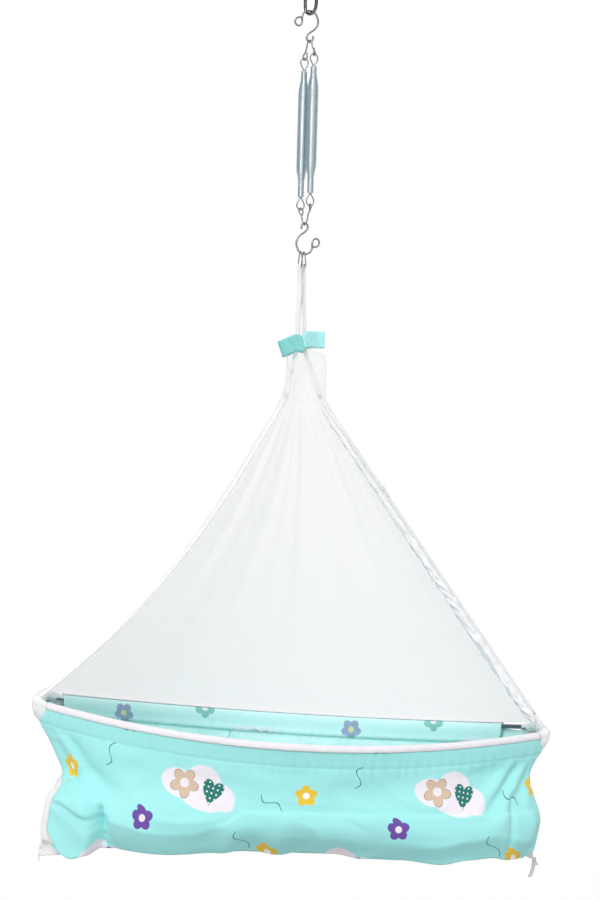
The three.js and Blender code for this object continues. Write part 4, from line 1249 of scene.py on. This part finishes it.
def front_roll():
    """The front net, unzipped and rolled up along the inside of the right edge."""
    right_edge = (edge_point(-1, 1, 1) - edge_point(-1, 1, 0)).normalized()
    across = edge_across(-1, 1)
    square = (across - right_edge * across.dot(right_edge)).normalized()
    shift = across * (-STRAP_WIDTH / 2) - square * (2 * FIT + ROLL_DIAMETER / 2)
    rows = []
    for i in range(ROLL_STEPS + 1):
        down = mix(0.03, 0.965, i / ROLL_STEPS)
        middle = edge_point(-1, 1, down) + shift
        taper = smooth(i / ROLL_STEPS, 0, 0.05) * smooth(1 - i / ROLL_STEPS, 0, 0.03)
        full = mix(0.62, 1.24, smooth(down, 0.1, 0.8)) * ROLL_DIAMETER / 2
        row = []
        for k in range(ROLL_TURNS * ROLL_TURN_STEPS + 1):
            rolled = k / (ROLL_TURNS * ROLL_TURN_STEPS)
            turn = 2 * math.pi * k / ROLL_TURN_STEPS
            twist = turn + down * 16
            crease = drift(math.cos(twist) * 1.4, math.sin(twist) * 1.4 + down * 44, 3)
            pinch = drift(down * 30, 2, 9)
            fine = drift(math.cos(twist) * 3, down * 100, 12)
            radius = full * (0.9 + 0.5 * crease + 0.22 * pinch + 0.16 * fine) * mix(0.45, 1, taper)
            radius *= mix(ROLL_CORE_SHARE, 1, rolled)
            out = square * math.cos(turn) + right_edge.cross(square) * math.sin(turn)
            row.append(middle + out * radius)
        rows.append(row)
    piece = grid_piece("rolled-front-net", rows, NET_ROLL)
    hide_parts("front_net_roll")
    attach(piece, "cradle")
    width = running(rows[len(rows) // 2])[-1]
    length = (rows[-1][0] - rows[0][0]).length


front_roll()


def zip_tape():
    """A zip tape down the outer face of the right front strap."""
    right_edge = (edge_point(-1, 1, 1) - edge_point(-1, 1, 0)).normalized()
    across = edge_across(-1, 1)
    out = right_edge.cross(across).normalized()
    face = STRAP_THICK / 2 + FIT + 0.0005
    places = [(edge_point(-1, 1, mix(0.1, 0.95, i / 60)) + out * face, across) for i in range(61)]
    length = (places[-1][0] - places[0][0]).length
    piece = strap("zip-tape", places, COTTON, "zip_tape", flat=(0.01, round(length, 3)),
                  seed=4, width=0.008)


zip_tape()
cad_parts["zip_slider"].data.materials.clear()
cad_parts["zip_slider"].data.materials.append(CORNER_PLASTIC)


# Rim: bowed rods, end bars and elbows inside the cloth
def rod(side, name):
    reach = 1 - (CORNER_LEG + 2 * FIT) / RIM_HALF_LENGTH
    points = [rim_point(side, mix(-reach, reach, i / 16)) for i in range(17)]
    piece = bar(f"rim-rod-{name}", points, ROD_DIAMETER, ROD_GREY)
    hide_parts(f"rim_rod_{name}")
    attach(piece, "cradle")


def end_bar(end, name):
    reach = END_HALF_WIDTH - CORNER_LEG - 2 * FIT
    points = [Vector((end * RIM_HALF_LENGTH, y, corner_height(end))) for y in (-reach, 0, reach)]
    piece = bar(f"end-bar-{name}", points, ROD_DIAMETER, ROD_GREY)
    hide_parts(f"end_bar_{name}")
    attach(piece, "cradle")


def elbow(side, end, name):
    corner = rim_point(side, end)
    bar_end = corner - Vector((0, side * CORNER_LEG, 0))
    share = 1 - CORNER_LEG / RIM_HALF_LENGTH
    points = [
        rim_point(side, end * share), rim_point(side, end * (1 + share) / 2), corner,
        corner.lerp(bar_end, 0.5), bar_end,
    ]
    piece = bar(f"corner-elbow-{name.replace('_', '-')}", points, CORNER_DIAMETER, CORNER_PLASTIC)
    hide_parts(f"corner_elbow_{name}")
    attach(piece, "cradle")


for side, name in ((-1, "front"), (1, "back")):
    rod(side, name)
for end, name in ((-1, "left"), (1, "right")):
    end_bar(end, name)
for side, end, name in CORNERS:
    elbow(side, end, name)


# How far along the rim the printed cloth and its binding go, by side and end
WRAP_SHARES = {(-1, -1): 0.95, (-1, 1): 0.972, (1, -1): 0.93, (1, 1): 0.865}
WRAP_FALLS = {-1: 0.15, 1: 0.06}
LEFT_TURN_SHARE = 0.062
LEFT_FOOT_SHARE = 0.04
AQUA_OVER = 1.003
WHITE_SHARES = {(-1, -1): 0.93, (-1, 1): 0.955, (1, -1): 0.91, (1, 1): 0.94}
BINDING_TURNS = [-24, -10, 4, 18, 32, 46, 60, 74, 88, 102, 116]


def rim_binding(side, name):
    """Thin white cloth folded over the rod pocket, a little rippled."""
    rows = []
    left, right = WRAP_SHARES[side, -1] - 0.002, WRAP_SHARES[side, 1] - 0.002
    for degrees in BINDING_TURNS:
        turn = math.radians(degrees)
        row = []
        for j in range(221):
            along = mix(-left, right, j / 220)
            ripple = 0.0006 * drift(along * 42, degrees * 0.02, 11 + side)
            ripple += 0.0005 * drift(along * 110, degrees * 0.03, 13 + side)
            radius = BINDING_RADIUS + 0.0002 + ripple
            point = rim_point(side, along)
            point += rim_out(side, along) * (radius * math.cos(turn))
            point.z += radius * math.sin(turn)
            row.append(point)
        rows.append(row)
    piece = grid_piece(f"rim-binding-{name}", rows, BINDING, thick=0.0008)
    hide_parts(f"rim_binding_{name}")
    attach(piece, "cradle")


rim_binding(-1, "front")
rim_binding(1, "back")

# Cloth walls. Each goes from its inner hem over the rod and down to the base.
WALL_COLUMNS = 330
WALL_ROWS = 90
HEM_SHARES = [(1, 1), (0.8, 0.8), (0.6, 0.5), (0.4, 0.2), (0.2, 0)]
HEM_SEAM = CLOTH_THICK + 0.0022
CASING_ROWS = 8
# Lengths of the cut cloth: over the rod, a step of it, and the ease down the wall
CASING_CUT = 0.018
CASING_STEP = 0.00225
WALL_EASE = 0.012
# How the wall's foot turns in under the base: distances in and down, a step of cut cloth apart
FOOT_TURN = [(0.004, 0.001), (0.012, 0.002), (0.026, 0.002), (0.045, 0.001)]
FOOT_STEP = 0.01
# The back wall's rows of faces on the inner side of the rod
INNER_ROWS = 9
SEAM_X = PINCH_X - 0.002


def aqua_reach(side, end, down):
    """How far along the printed cloth goes at one height, before the white end cloth takes over."""
    reach = mix(WRAP_SHARES[side, end], AQUA_OVER, smooth(down, 0.02, WRAP_FALLS[side]))
    if end < 0:
        reach -= LEFT_TURN_SHARE * smooth(down, 0.52, 0.68) + LEFT_FOOT_SHARE * smooth(down, 0.85, 1)
    return reach


def wall_puckers(x, fall):
    """Small gathers under the casing's stitch line."""
    wave = math.sin(x * 330 + 2.5 * drift(x * 30, 0, 5)) * (0.6 + 0.4 * drift(x * 18, 3, 6))
    long_wave = drift(x * 22, fall * 4, 41)
    stitched = -0.0012 * bump(fall, POCKET_DEPTH, 0.0022)
    return (0.0011 * wave * bump(fall, POCKET_DEPTH, 0.016)
            + 0.0022 * long_wave * bump(fall, POCKET_DEPTH + 0.022, 0.024) + stitched)


def fan(x, fall, end, seed):
    """Folds that spread from the top corner at one end."""
    across = end * (end * RIM_HALF_LENGTH - x)
    away = math.hypot(across, fall + 0.03)
    turn = math.atan2(fall + 0.03, max(across, 0.001))
    wave = math.sin(turn * (15 if end < 0 else 19) + 3.2 * drift(turn * 2, away * 7, seed))
    far = 0.34 if end < 0 else 0.24
    strength = smooth(away, 0.05, 0.11) * (1 - smooth(away, far * 0.55, far))
    return (0.0032 if end < 0 else 0.0042) * wave * strength


def wall_wrinkles(x, fall, seed):
    """Long soft creases that slant down across the wall."""
    slant = drift(x * 6 + fall * 8, fall * 22 - x * 5, seed)
    cross = drift(x * 12 - fall * 15, fall * 18 + x * 9, seed + 3)
    ridge = max(0, 1 - abs(drift(x * 9 - fall * 10, fall * 12 + x * 4, seed + 6)) * 5)
    low = smooth(fall, 0.028, 0.06)
    folds = fan(x, fall, -1, seed) + fan(x, fall, 1, seed)
    return low * (0.004 * slant + 0.0024 * cross + 0.0024 * ridge + folds)


# The top edge of the mattress as it shows in the cloth: places along the cradle and heights
MATTRESS_LINE = [
    (-0.33, -1.462), (-0.286, -1.477), (-0.229, -1.487), (-0.16, -1.487), (-0.11, -1.468),
    (-0.07, -1.445), (0.31, -1.447), (0.47, -1.45),
]
# The fold of cloth that hangs over the top of the bolster
BARREL_LINE = [(-0.43, -1.436), (-0.385, -1.446), (-0.33, -1.463)]
# The foot of the cloth along the cradle, above or below the base
BASE_SWAY = [
    (-0.46, 0.002), (-0.415, -0.003), (-0.374, -0.021), (-0.346, -0.014), (-0.321, -0.002),
    (-0.21, -0.006), (-0.12, 0.0), (-0.069, 0.007), (-0.015, -0.001), (0.025, 0.006), (0.08, 0.004),
    (0.128, -0.003), (0.193, -0.004), (0.264, -0.011), (0.312, -0.004), (0.354, -0.002),
    (0.385, -0.008), (0.41, -0.008), (0.43, 0.001), (0.46, 0.002),
]


def along_line(line, x):
    """The height of a line of places at one place along the cradle."""
    for (x0, z0), (x1, z1) in zip(line, line[1:]):
        if x <= x1:
            return mix(z0, z1, smooth(x, x0, x1))
    return line[-1][1]


def base_sway(x):
    return along_line(BASE_SWAY, x)


def bolster_bulge(x, height):
    """The round end of the bolster in the cloth, with the gathered seam beside it."""
    away = math.hypot((x - BOLSTER_X - 0.006) / 0.047, (height + 1.488) / 0.062)
    barrel = 0.019 * smooth(1.12 - away, 0, 0.38)
    low = smooth(-height, 1.446, 1.462) * (1 - 0.6 * smooth(-height, 1.5, 1.53))
    groove = 0.014 * bump(x, SEAM_X, 0.0055) * low
    wave = math.sin(height * 420 + 4 * drift(height * 40, 1, 8))
    gather = 0.0011 * wave * bump(x, SEAM_X, 0.013) * low
    return barrel - groove + gather


def wall_pads(x, height):
    """The mattress pushes the cloth out at its top edge, and the bolster at the left end."""
    under = along_line(MATTRESS_LINE, x) - height
    left = 0.012 * (1 - smooth(-under, 0, 0.08)) - 0.034 * min(max(under, 0) / 0.06, 1)
    right = (0.0045 * smooth(under, -0.002, 0.006) + 0.007 * bump(under, 0.03, 0.026)
             - 0.014 * smooth(under, 0.042, 0.085))
    pad = mix(left, right, smooth(x, -0.17, -0.07)) * smooth(x, SEAM_X, SEAM_X + 0.02)
    over = height - along_line(BARREL_LINE, x)
    ledge = 0.008 * (1 - smooth(over, 0, 0.07)) * smooth(over, -0.009, 0)
    ledge *= (1 - smooth(x, SEAM_X, SEAM_X + 0.02)) * smooth(x, -0.43, -0.405)
    crease = 0.0055 * bump(x, 0.385 + (height + 1.45) * 0.06, 0.006) * smooth(-height, 1.41, 1.43)
    crease *= smooth(1.52 + height, 0, 0.03)
    return pad + ledge + bolster_bulge(x, height) - crease


def cloth_push(side, along, point):
    """How far folds and pads push a side wall's cloth out at one place."""
    fall = rim_point(side, along).z - point.z
    calm = smooth(1 - abs(along), 0, 0.04)
    pushed = wall_wrinkles(point.x, fall, 20 + side) + wall_pads(point.x, point.z)
    return wall_puckers(point.x, fall) + calm * pushed


def hanging_cloth(side, along, down):
    """A place on the outer face of a side wall's cloth."""
    out = rim_out(side, along)
    point = wall_point(side, along, down)
    point += out * (POCKET_RADIUS * (1 - down) + cloth_push(side, along, point))
    point.z += base_sway(point.x) * smooth(down, 0.55, 1)
    return point


def casing_place(side, along, turn):
    """A place on the casing, some way round the rod."""
    point = rim_point(side, along) + rim_out(side, along) * (POCKET_RADIUS * math.cos(turn))
    point.z += POCKET_RADIUS * math.sin(turn)
    return point


def hem_place(side, along, fall_share, sewn_share):
    """A place on the inner hem, which goes from the rod to the casing's stitch line."""
    inner = rim_point(side, along) - rim_out(side, along) * POCKET_RADIUS
    inner.z -= POCKET_DEPTH * fall_share
    drop = rim_point(side, along).z - BASE_Z
    outer = hanging_cloth(side, along, POCKET_DEPTH * fall_share / drop)
    outer -= rim_out(side, along) * HEM_SEAM
    return inner.lerp(outer, sewn_share)


def wall_row(side, down, place, *values):
    """One row of a side wall, from its left end to its right end."""
    left, right = aqua_reach(side, -1, down), aqua_reach(side, 1, down)
    steps = range(WALL_COLUMNS + 1)
    return [place(side, mix(-left, right, j / WALL_COLUMNS), *values) for j in steps]


def wall_rows(side):
    """The rows from the hem over the rod to the foot, and how far down the cut cloth each one is."""
    rows = []
    falls = []
    for fall_share, sewn_share in HEM_SHARES:
        rows.append(wall_row(side, 0, hem_place, fall_share, sewn_share))
        falls.append(-CASING_CUT - POCKET_DEPTH * fall_share)
    for i in range(CASING_ROWS + 1):
        rows.append(wall_row(side, 0, casing_place, math.pi * (1 - i / CASING_ROWS)))
        falls.append(-CASING_CUT + i * CASING_STEP)
    height = rim_point(side, 0).z - BASE_Z
    for i in range(1, WALL_ROWS + 1):
        down = i / WALL_ROWS
        rows.append(wall_row(side, down, hanging_cloth, down))
        falls.append(down * (height + WALL_EASE))
    foot = rows[-1]
    for inset, drop in FOOT_TURN:
        rows.append([Vector((p.x, side * (abs(p.y) - inset), p.z - drop)) for p in foot])
        falls.append(falls[-1] + FOOT_STEP)
    return rows, falls


def wall_cuts(side, rows, falls):
    """Places on the cut cloth, measured along each row as seen from above."""
    cuts = []
    for row, fall in zip(rows, falls):
        runs = [0]
        for a, b in zip(row, row[1:]):
            runs.append(runs[-1] + math.hypot(b.x - a.x, b.y - a.y))
        middle = runs[len(row) // 2]
        cuts.append([(side * -(run - middle), -fall) for run in runs])
    return cuts


def side_wall(side, name):
    rows, falls = wall_rows(side)
    cuts = wall_cuts(side, rows, falls)
    piece = grid_piece(f"{name}-wall", rows, PRINT, thick=CLOTH_THICK, cut=cuts)
    piece.modifiers["thickness"].material_offset = 1
    piece.data.materials.clear()
    for material in ([PRINT, PRINT_INSIDE_PAINTED_LIGHT] if side < 0 else [PRINT_INSIDE_PAINTED_LIGHT, PRINT, PRINT_INSIDE_PAINTED_LIGHT]):
        piece.data.materials.append(material)
    if side > 0:
        for face in piece.data.polygons:
            if face.index < INNER_ROWS * WALL_COLUMNS:
                face.material_index = 1
    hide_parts(f"{name}_wall")
    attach(piece, "cradle")


side_wall(-1, "front")
side_wall(1, "back")

# Pads: covers filled with wadding, which swell a little from the shape they were cut to
PAD_VOXEL = 0.006
PAD_FRAMES = 20
PAD_PRESSURE = 4
PAD_SWELL = 0.007
MATTRESS_GAP = 0.016
MATTRESS_SEAM = -1.448
# Heights of the mattress's outline, and how far it is drawn in there
MATTRESS_EDGES = [
    (-1.5205, 0.018), (-1.517, 0.009), (-1.509, 0.003), (-1.493, 0), (-1.47, 0), (-1.454, 0.003),
    (-1.447, 0.009), (-1.443, 0.02),
]
BOLSTER_START_RADIUS = 0.05
# How far the bolster stays from the end wall, for its pleats
PLEAT_ROOM = 0.009
# Places along the bolster and its radius there, as shares
BOLSTER_SHARES = [
    (-0.955, 0.06), (-0.965, 0.3), (-0.95, 0.6), (-0.91, 0.84), (-0.84, 0.96), (-0.7, 1), (-0.35, 1),
    (0, 1), (0.35, 1), (0.7, 1), (0.84, 0.96), (0.91, 0.84), (0.95, 0.6), (0.965, 0.3), (0.955, 0.06),
]


def closed_mesh(name, rings):
    mesh = bpy.data.meshes.new(name)
    count = len(rings[0])
    faces = []
    for i in range(len(rings) - 1):
        for j in range(count):
            k = (j + 1) % count
            faces.append((i * count + j, i * count + k, (i + 1) * count + k, (i + 1) * count + j))
    faces.append(tuple(reversed(range(count))))
    faces.append(tuple(range((len(rings) - 1) * count, len(rings) * count)))
    mesh.from_pydata([tuple(p) for ring in rings for p in ring], [], faces)
    return mesh


def swollen(name, mesh):
    """The cover pushed out by its filling, with no point far from where it started."""
    cover = bpy.data.objects.new(name, mesh)
    bpy.context.scene.collection.objects.link(cover)
    remesh = cover.modifiers.new("even", "REMESH")
    remesh.mode = "VOXEL"
    remesh.voxel_size = PAD_VOXEL
    graph = bpy.context.evaluated_depsgraph_get()
    even = bpy.data.meshes.new_from_object(cover.evaluated_get(graph))
    cover.modifiers.clear()
    cover.data = even
    start = [vertex.co.copy() for vertex in even.vertices]
    cloth = cover.modifiers.new("filling", "CLOTH")
    cloth.settings.quality = 4
    cloth.settings.use_pressure = True
    cloth.settings.uniform_pressure_force = PAD_PRESSURE
    cloth.settings.effector_weights.gravity = 0
    cloth.point_cache.frame_start = 1
    cloth.point_cache.frame_end = PAD_FRAMES
    for frame_number in range(1, PAD_FRAMES + 1):
        bpy.context.scene.frame_set(frame_number)
    graph = bpy.context.evaluated_depsgraph_get()
    full = bpy.data.meshes.new_from_object(cover.evaluated_get(graph))
    for vertex, before in zip(full.vertices, start):
        moved = vertex.co - before
        if moved.length > PAD_SWELL:
            vertex.co = before + moved.normalized() * PAD_SWELL
    bpy.data.objects.remove(cover)
    bpy.context.scene.frame_set(1)
    return full


def pad(name, node, rings, sewn, fill):
    mesh = closed_mesh(name, rings)
    mesh = swollen(name, mesh)
    for vertex in mesh.vertices:
        vertex.co = sewn(vertex.co)
    mesh.polygons.foreach_set("use_smooth", [True] * len(mesh.polygons))
    mesh.materials.clear()
    piece = new_object(name, mesh, PAD_COTTON)
    finer = piece.modifiers.new("finer", "SUBSURF")
    finer.levels = 1
    finer.render_levels = 1
    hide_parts(node)
    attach(piece, "cradle")


def mattress():
    """A boat-shaped mattress that fills the foot of the cradle from the bolster to the right end."""
    rings = []
    for height, inset in MATTRESS_EDGES:
        down = down_at(height)
        left = PINCH_X + MATTRESS_GAP / 2 + inset
        right = end_reach(down) - MATTRESS_GAP - inset
        line = []
        for i in range(61):
            x = mix(left, right, i / 60)
            line.append((x, wall_half_width(x / end_reach(down), down) + wall_pads(x, height)))
        front = [Vector((x, inset + MATTRESS_GAP - y, height)) for x, y in line]
        back = [Vector((x, y - inset - MATTRESS_GAP, height)) for x, y in reversed(line)]
        rings.append([*front, *back])

    def sewn(point):
        side = smooth(abs(point.y), 0.08, 0.12)
        drawn = 0.0022 * bump(point.z, MATTRESS_SEAM, 0.0035) * side
        rise = 0.0015 * drift(point.x * 7, point.y * 9, 31) * smooth(point.z, -1.46, -1.44)
        return Vector((point.x, point.y - math.copysign(drawn, point.y), point.z + rise))

    pad("mattress-pad", "mattress", rings, sewn, 0.7)


def bolster():
    """A round cushion across the left end, gathered to a dimple at each of its ends."""
    rings = []
    for along, wide in BOLSTER_SHARES:
        ring = []
        for k in range(40):
            turn = 2 * math.pi * k / 40
            out = BOLSTER_START_RADIUS * wide
            ring.append(Vector((
                BOLSTER_X + out * math.sin(turn),
                BOLSTER_HALF_LENGTH * along,
                BOLSTER_HEIGHT + out * math.cos(turn),
            )))
        rings.append(ring)

    def sewn(point):
        off_x, off_z = point.x - BOLSTER_X, point.z - BOLSTER_HEIGHT
        away = math.hypot(off_x, off_z) / BOLSTER_RADIUS
        turn = math.atan2(off_z, off_x)
        near_end = smooth(abs(point.y), 0.095, 0.122)
        dimple = 0.011 * (1 - smooth(away, 0, 0.45)) * near_end
        gather = 0.0016 * math.sin(turn * 17 + 2 * drift(turn, 1, 33))
        gather *= near_end * smooth(away, 0.1, 0.5)
        y = abs(point.y) - dimple + gather
        pressed = PLEAT_ROOM - drawn_reach(down_at(point.z), -1)
        return Vector((max(point.x, pressed), math.copysign(y, point.y), point.z))

    pad("bolster-pad", "bolster", rings, sewn, 0.85)


mattress()
bolster()


# End walls: white cotton that goes round the corners over the elbows and hangs in pleats
END_COLUMNS = 84
END_ROWS = 60
OVER_ROWS = 9
TAIL_ROWS = 8
# How far inside the printed cloth the white cloth starts, and the steps from there to the corner
WHITE_INSIDE = 0.02
SEAM_STEPS = (0, 0.4, 0.75, 0.93)
CORNER_RADIUS = 0.0085
CORNER_PUFF = 0.004
CORNER_TURN = 0.014
PLEATS = 11
PLEAT_DEPTH = 0.0022
SOFT_DEPTH = 0.003
CRUMPLE_DEPTH = 0.002
TAIL_WAVES = 7
TAIL_WAVE_DEPTH = 0.0025


def end_seam(side, end, down, at_seam, at_corner, seam_up, corner_up):
    """Half of an outline of the end wall: from its seam on the printed cloth round one corner."""
    seam = aqua_reach(side, end, down) - WHITE_INSIDE
    seam = mix(WHITE_SHARES[side, end], min(seam, 0.98), smooth(down, 0.02, 0.09))
    half = []
    for step in SEAM_STEPS:
        along = end * mix(seam, 1, step)
        point = wall_point(side, along, down)
        turned = smooth(step, 0, 1)
        with_cloth = at_seam + cloth_push(side, along, point)
        point += rim_out(side, along) * mix(with_cloth, at_corner, turned)
        point.z += mix(seam_up, corner_up, turned)
        half.append(point)
    corner = wall_point(side, end, down) + Vector((0, 0, corner_up))
    half.append(corner + Vector((end, side, 0)).normalized() * at_corner)
    half.append(corner + Vector((end * at_corner, -side * CORNER_TURN, 0)))
    return half


def end_outline(end, down, at_seam, at_corner, seam_up=0.0, corner_up=0.0):
    """One row of an end wall, from the front wall round both corners to the back wall."""
    halves = [end_seam(side, end, down, at_seam, at_corner, seam_up, corner_up) for side in (-1, 1)]
    front, back = halves
    middle = [front[-1].lerp(back[-1], share) for share in (0.33, 0.67)]
    return spline([*front, *middle, *reversed(back)], END_COLUMNS + 1)


def over_elbow(end, i):
    """A row on the way over the rods and elbows, a little crumpled."""
    turn = math.pi * (1.1 - i / OVER_ROWS * 1.1)
    radius = CORNER_RADIUS + CORNER_PUFF * math.sin(min(turn, math.pi))
    inner = POCKET_RADIUS - 0.0018
    row = end_outline(end, 0, inner * math.cos(turn), radius * math.cos(turn),
                      inner * math.sin(turn), radius * math.sin(turn))
    for j, point in enumerate(row):
        share = j / END_COLUMNS
        point.z += 0.0018 * drift(share * 14, i * 0.5, 51 + end)
    return row


def pleated_row(end, down):
    """A row of the hanging part, with its pleats."""
    at_corner = mix(CORNER_RADIUS, 0.0005, smooth(down, 0.02, 0.22))
    row = end_outline(end, down, POCKET_RADIUS * (1 - down) - 0.0025, at_corner)
    for j, point in enumerate(row):
        share = j / END_COLUMNS
        inside = smooth(min(share, 1 - share), 0.02, 0.16)
        pleat = math.sin(2 * math.pi * PLEATS * share + 1.5 * drift(share * 6, down * 2, 15))
        soft = drift(share * 5, down * 4, 17 + end)
        crumple = drift(share * 16, down * 11, 55 + end) * (1 - smooth(down, 0.1, 0.3))
        depth = PLEAT_DEPTH * pleat * (1 - 0.5 * down) + SOFT_DEPTH * soft
        depth *= smooth(down, 0, 0.12)
        point.x += end * (depth * inside + CRUMPLE_DEPTH * crumple)
        point.z += base_sway(point.x) * smooth(down, 0.55, 1)
    return row


def tail_row(end, foot, fall):
    """A row of the loose tail below the base, which draws together and waves."""
    middle = foot[len(foot) // 2]
    row = []
    for j, point in enumerate(foot):
        share = j / END_COLUMNS
        wave = TAIL_WAVE_DEPTH * math.sin(2 * math.pi * TAIL_WAVES * share + 2 * fall)
        x = mix(point.x, middle.x + end * 0.004, smooth(fall, 0, 1)) + end * wave * fall
        row.append(Vector((x, point.y * mix(1, 0.5, fall), point.z - END_TAIL * fall)))
    return row


def end_wall(end, name):
    """White cotton: it starts inside the printed cloth, goes round both corners and hangs in pleats."""
    rows = [over_elbow(end, i) for i in range(OVER_ROWS + 1)]
    rows += [pleated_row(end, i / END_ROWS) for i in range(1, END_ROWS + 1)]
    foot = rows[-1]
    rows += [tail_row(end, foot, i / TAIL_ROWS) for i in range(1, TAIL_ROWS + 1)]
    piece = grid_piece(f"{name}-end-wall", rows, COTTON, thick=0.001)
    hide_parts(f"end_wall_{name}")
    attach(piece, "cradle")


end_wall(-1, "left")
end_wall(1, "right")


def base_cloth():
    inset = 0.0022
    rows = []
    for i in range(41):
        across = i / 40
        row = []
        for j in range(121):
            along = (2 * j / 120 - 1) * 0.995
            front, back = (hanging_cloth(side, along, 1) for side in (-1, 1))
            front.y += inset
            back.y -= inset
            point = front.lerp(back, across)
            soft = 0.0012 * drift(point.x * 8, point.y * 10, 31)
            row.append(point + Vector((0, 0, 0.0014 + soft)))
        rows.append(row)
    piece = grid_piece("base-cloth", rows, PRINT, thick=CLOTH_THICK)
    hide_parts("base_cloth")
    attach(piece, "cradle")


base_cloth()

# Ties at the lower right corner
TIE_WIDTH = 0.007
TIE_LENGTH = 0.034


def tape_tie(name, node, y, lean, length):
    places = []
    across = Vector((1, 0.3, 0))
    for i in range(13):
        share = i / 12
        x = TAIL_X + lean * share * share
        places.append((Vector((x, y, TAIL_FOOT - FIT - length * share)), across))
    piece = strap(name, places, COTTON, node, flat=(0.01, max(length, 0.01)),
                  seed=y * 90, width=TIE_WIDTH, cup=0.0012)


tape_tie("long-tape-tie", "tie_tape_long", -TIE_SET, -0.007, TIE_LENGTH)
tape_tie("short-tape-tie", "tie_tape_short", -TIE_SET + 0.007, 0.005, TIE_LENGTH * 0.4)


# Floor, light and the white surroundings
def floor():
    mesh = bpy.data.meshes.new("floor")
    half = FLOOR_SIZE / 2
    corners = [(-half, -half), (half, -half), (half, half), (-half, half)]
    mesh.from_pydata([(x, y, FLOOR_HEIGHT) for x, y in corners], [], [(0, 1, 2, 3)])
    piece = bpy.data.objects.new("floor", mesh)
    bpy.context.scene.collection.objects.link(piece)
    paint = Paint("pale floor")
    direct = paint.node("ShaderNodeLightPath", output="Is Camera Ray")
    shine = paint.node("ShaderNodeLightPath", output="Is Glossy Ray")
    mottle = paint.cloudy(paint.coordinates(), 3, 2)
    shade = paint.mixed(mottle, colour("BCBCBC"), colour("B8B8B8"))
    glow = (FLOOR_GLOW, FLOOR_GLOW, FLOOR_GLOW, 1)
    mesh.materials.append(paint.finish({
        "Base Color": shade,
        "Roughness": 0.9,
        "Emission Color": paint.mixed(direct.most(shine), (0, 0, 0, 1), glow),
        "Emission Strength": 1,
    }))


def surroundings():
    world = bpy.data.worlds.new("studio")
    bpy.context.scene.world = world
    world.use_nodes = True
    paint = Paint("studio", world.node_tree)
    direct = paint.node("ShaderNodeLightPath", output="Is Camera Ray")
    shine = paint.node("ShaderNodeLightPath", output="Is Glossy Ray")
    through = paint.node("ShaderNodeLightPath", output="Is Transmission Ray")
    dim = (WORLD_LEVEL, WORLD_LEVEL, WORLD_LEVEL, 1)
    dark = (SIDE_LEVEL, SIDE_LEVEL, SIDE_LEVEL, 1)
    across = paint.split(paint.node("ShaderNodeTexCoord", output="Generated"))[0]
    sides = (across * across * 2.6 - 0.5).clamped()
    mirrored = paint.mixed(sides, (1, 1, 1, 1), dark)
    shade = paint.mixed(direct.most(through), paint.mixed(shine, dim, mirrored), (1, 1, 1, 1))
    light = paint.node("ShaderNodeBackground", None, {"Color": shade, "Strength": 1})
    paint.node("ShaderNodeOutputWorld", None, {"Surface": light}, output=None)


def key_light():
    lamp = bpy.data.lights.new("key", "SUN")
    lamp.energy = KEY_STRENGTH
    lamp.angle = KEY_SPREAD
    piece = bpy.data.objects.new("key", lamp)
    bpy.context.scene.collection.objects.link(piece)
    piece.rotation_euler = (KEY_LEAN, KEY_TURN, 0)


floor()
surroundings()
key_light()

scene = bpy.context.scene
scene.view_settings.view_transform = "Standard"

bpy.context.view_layer.update()
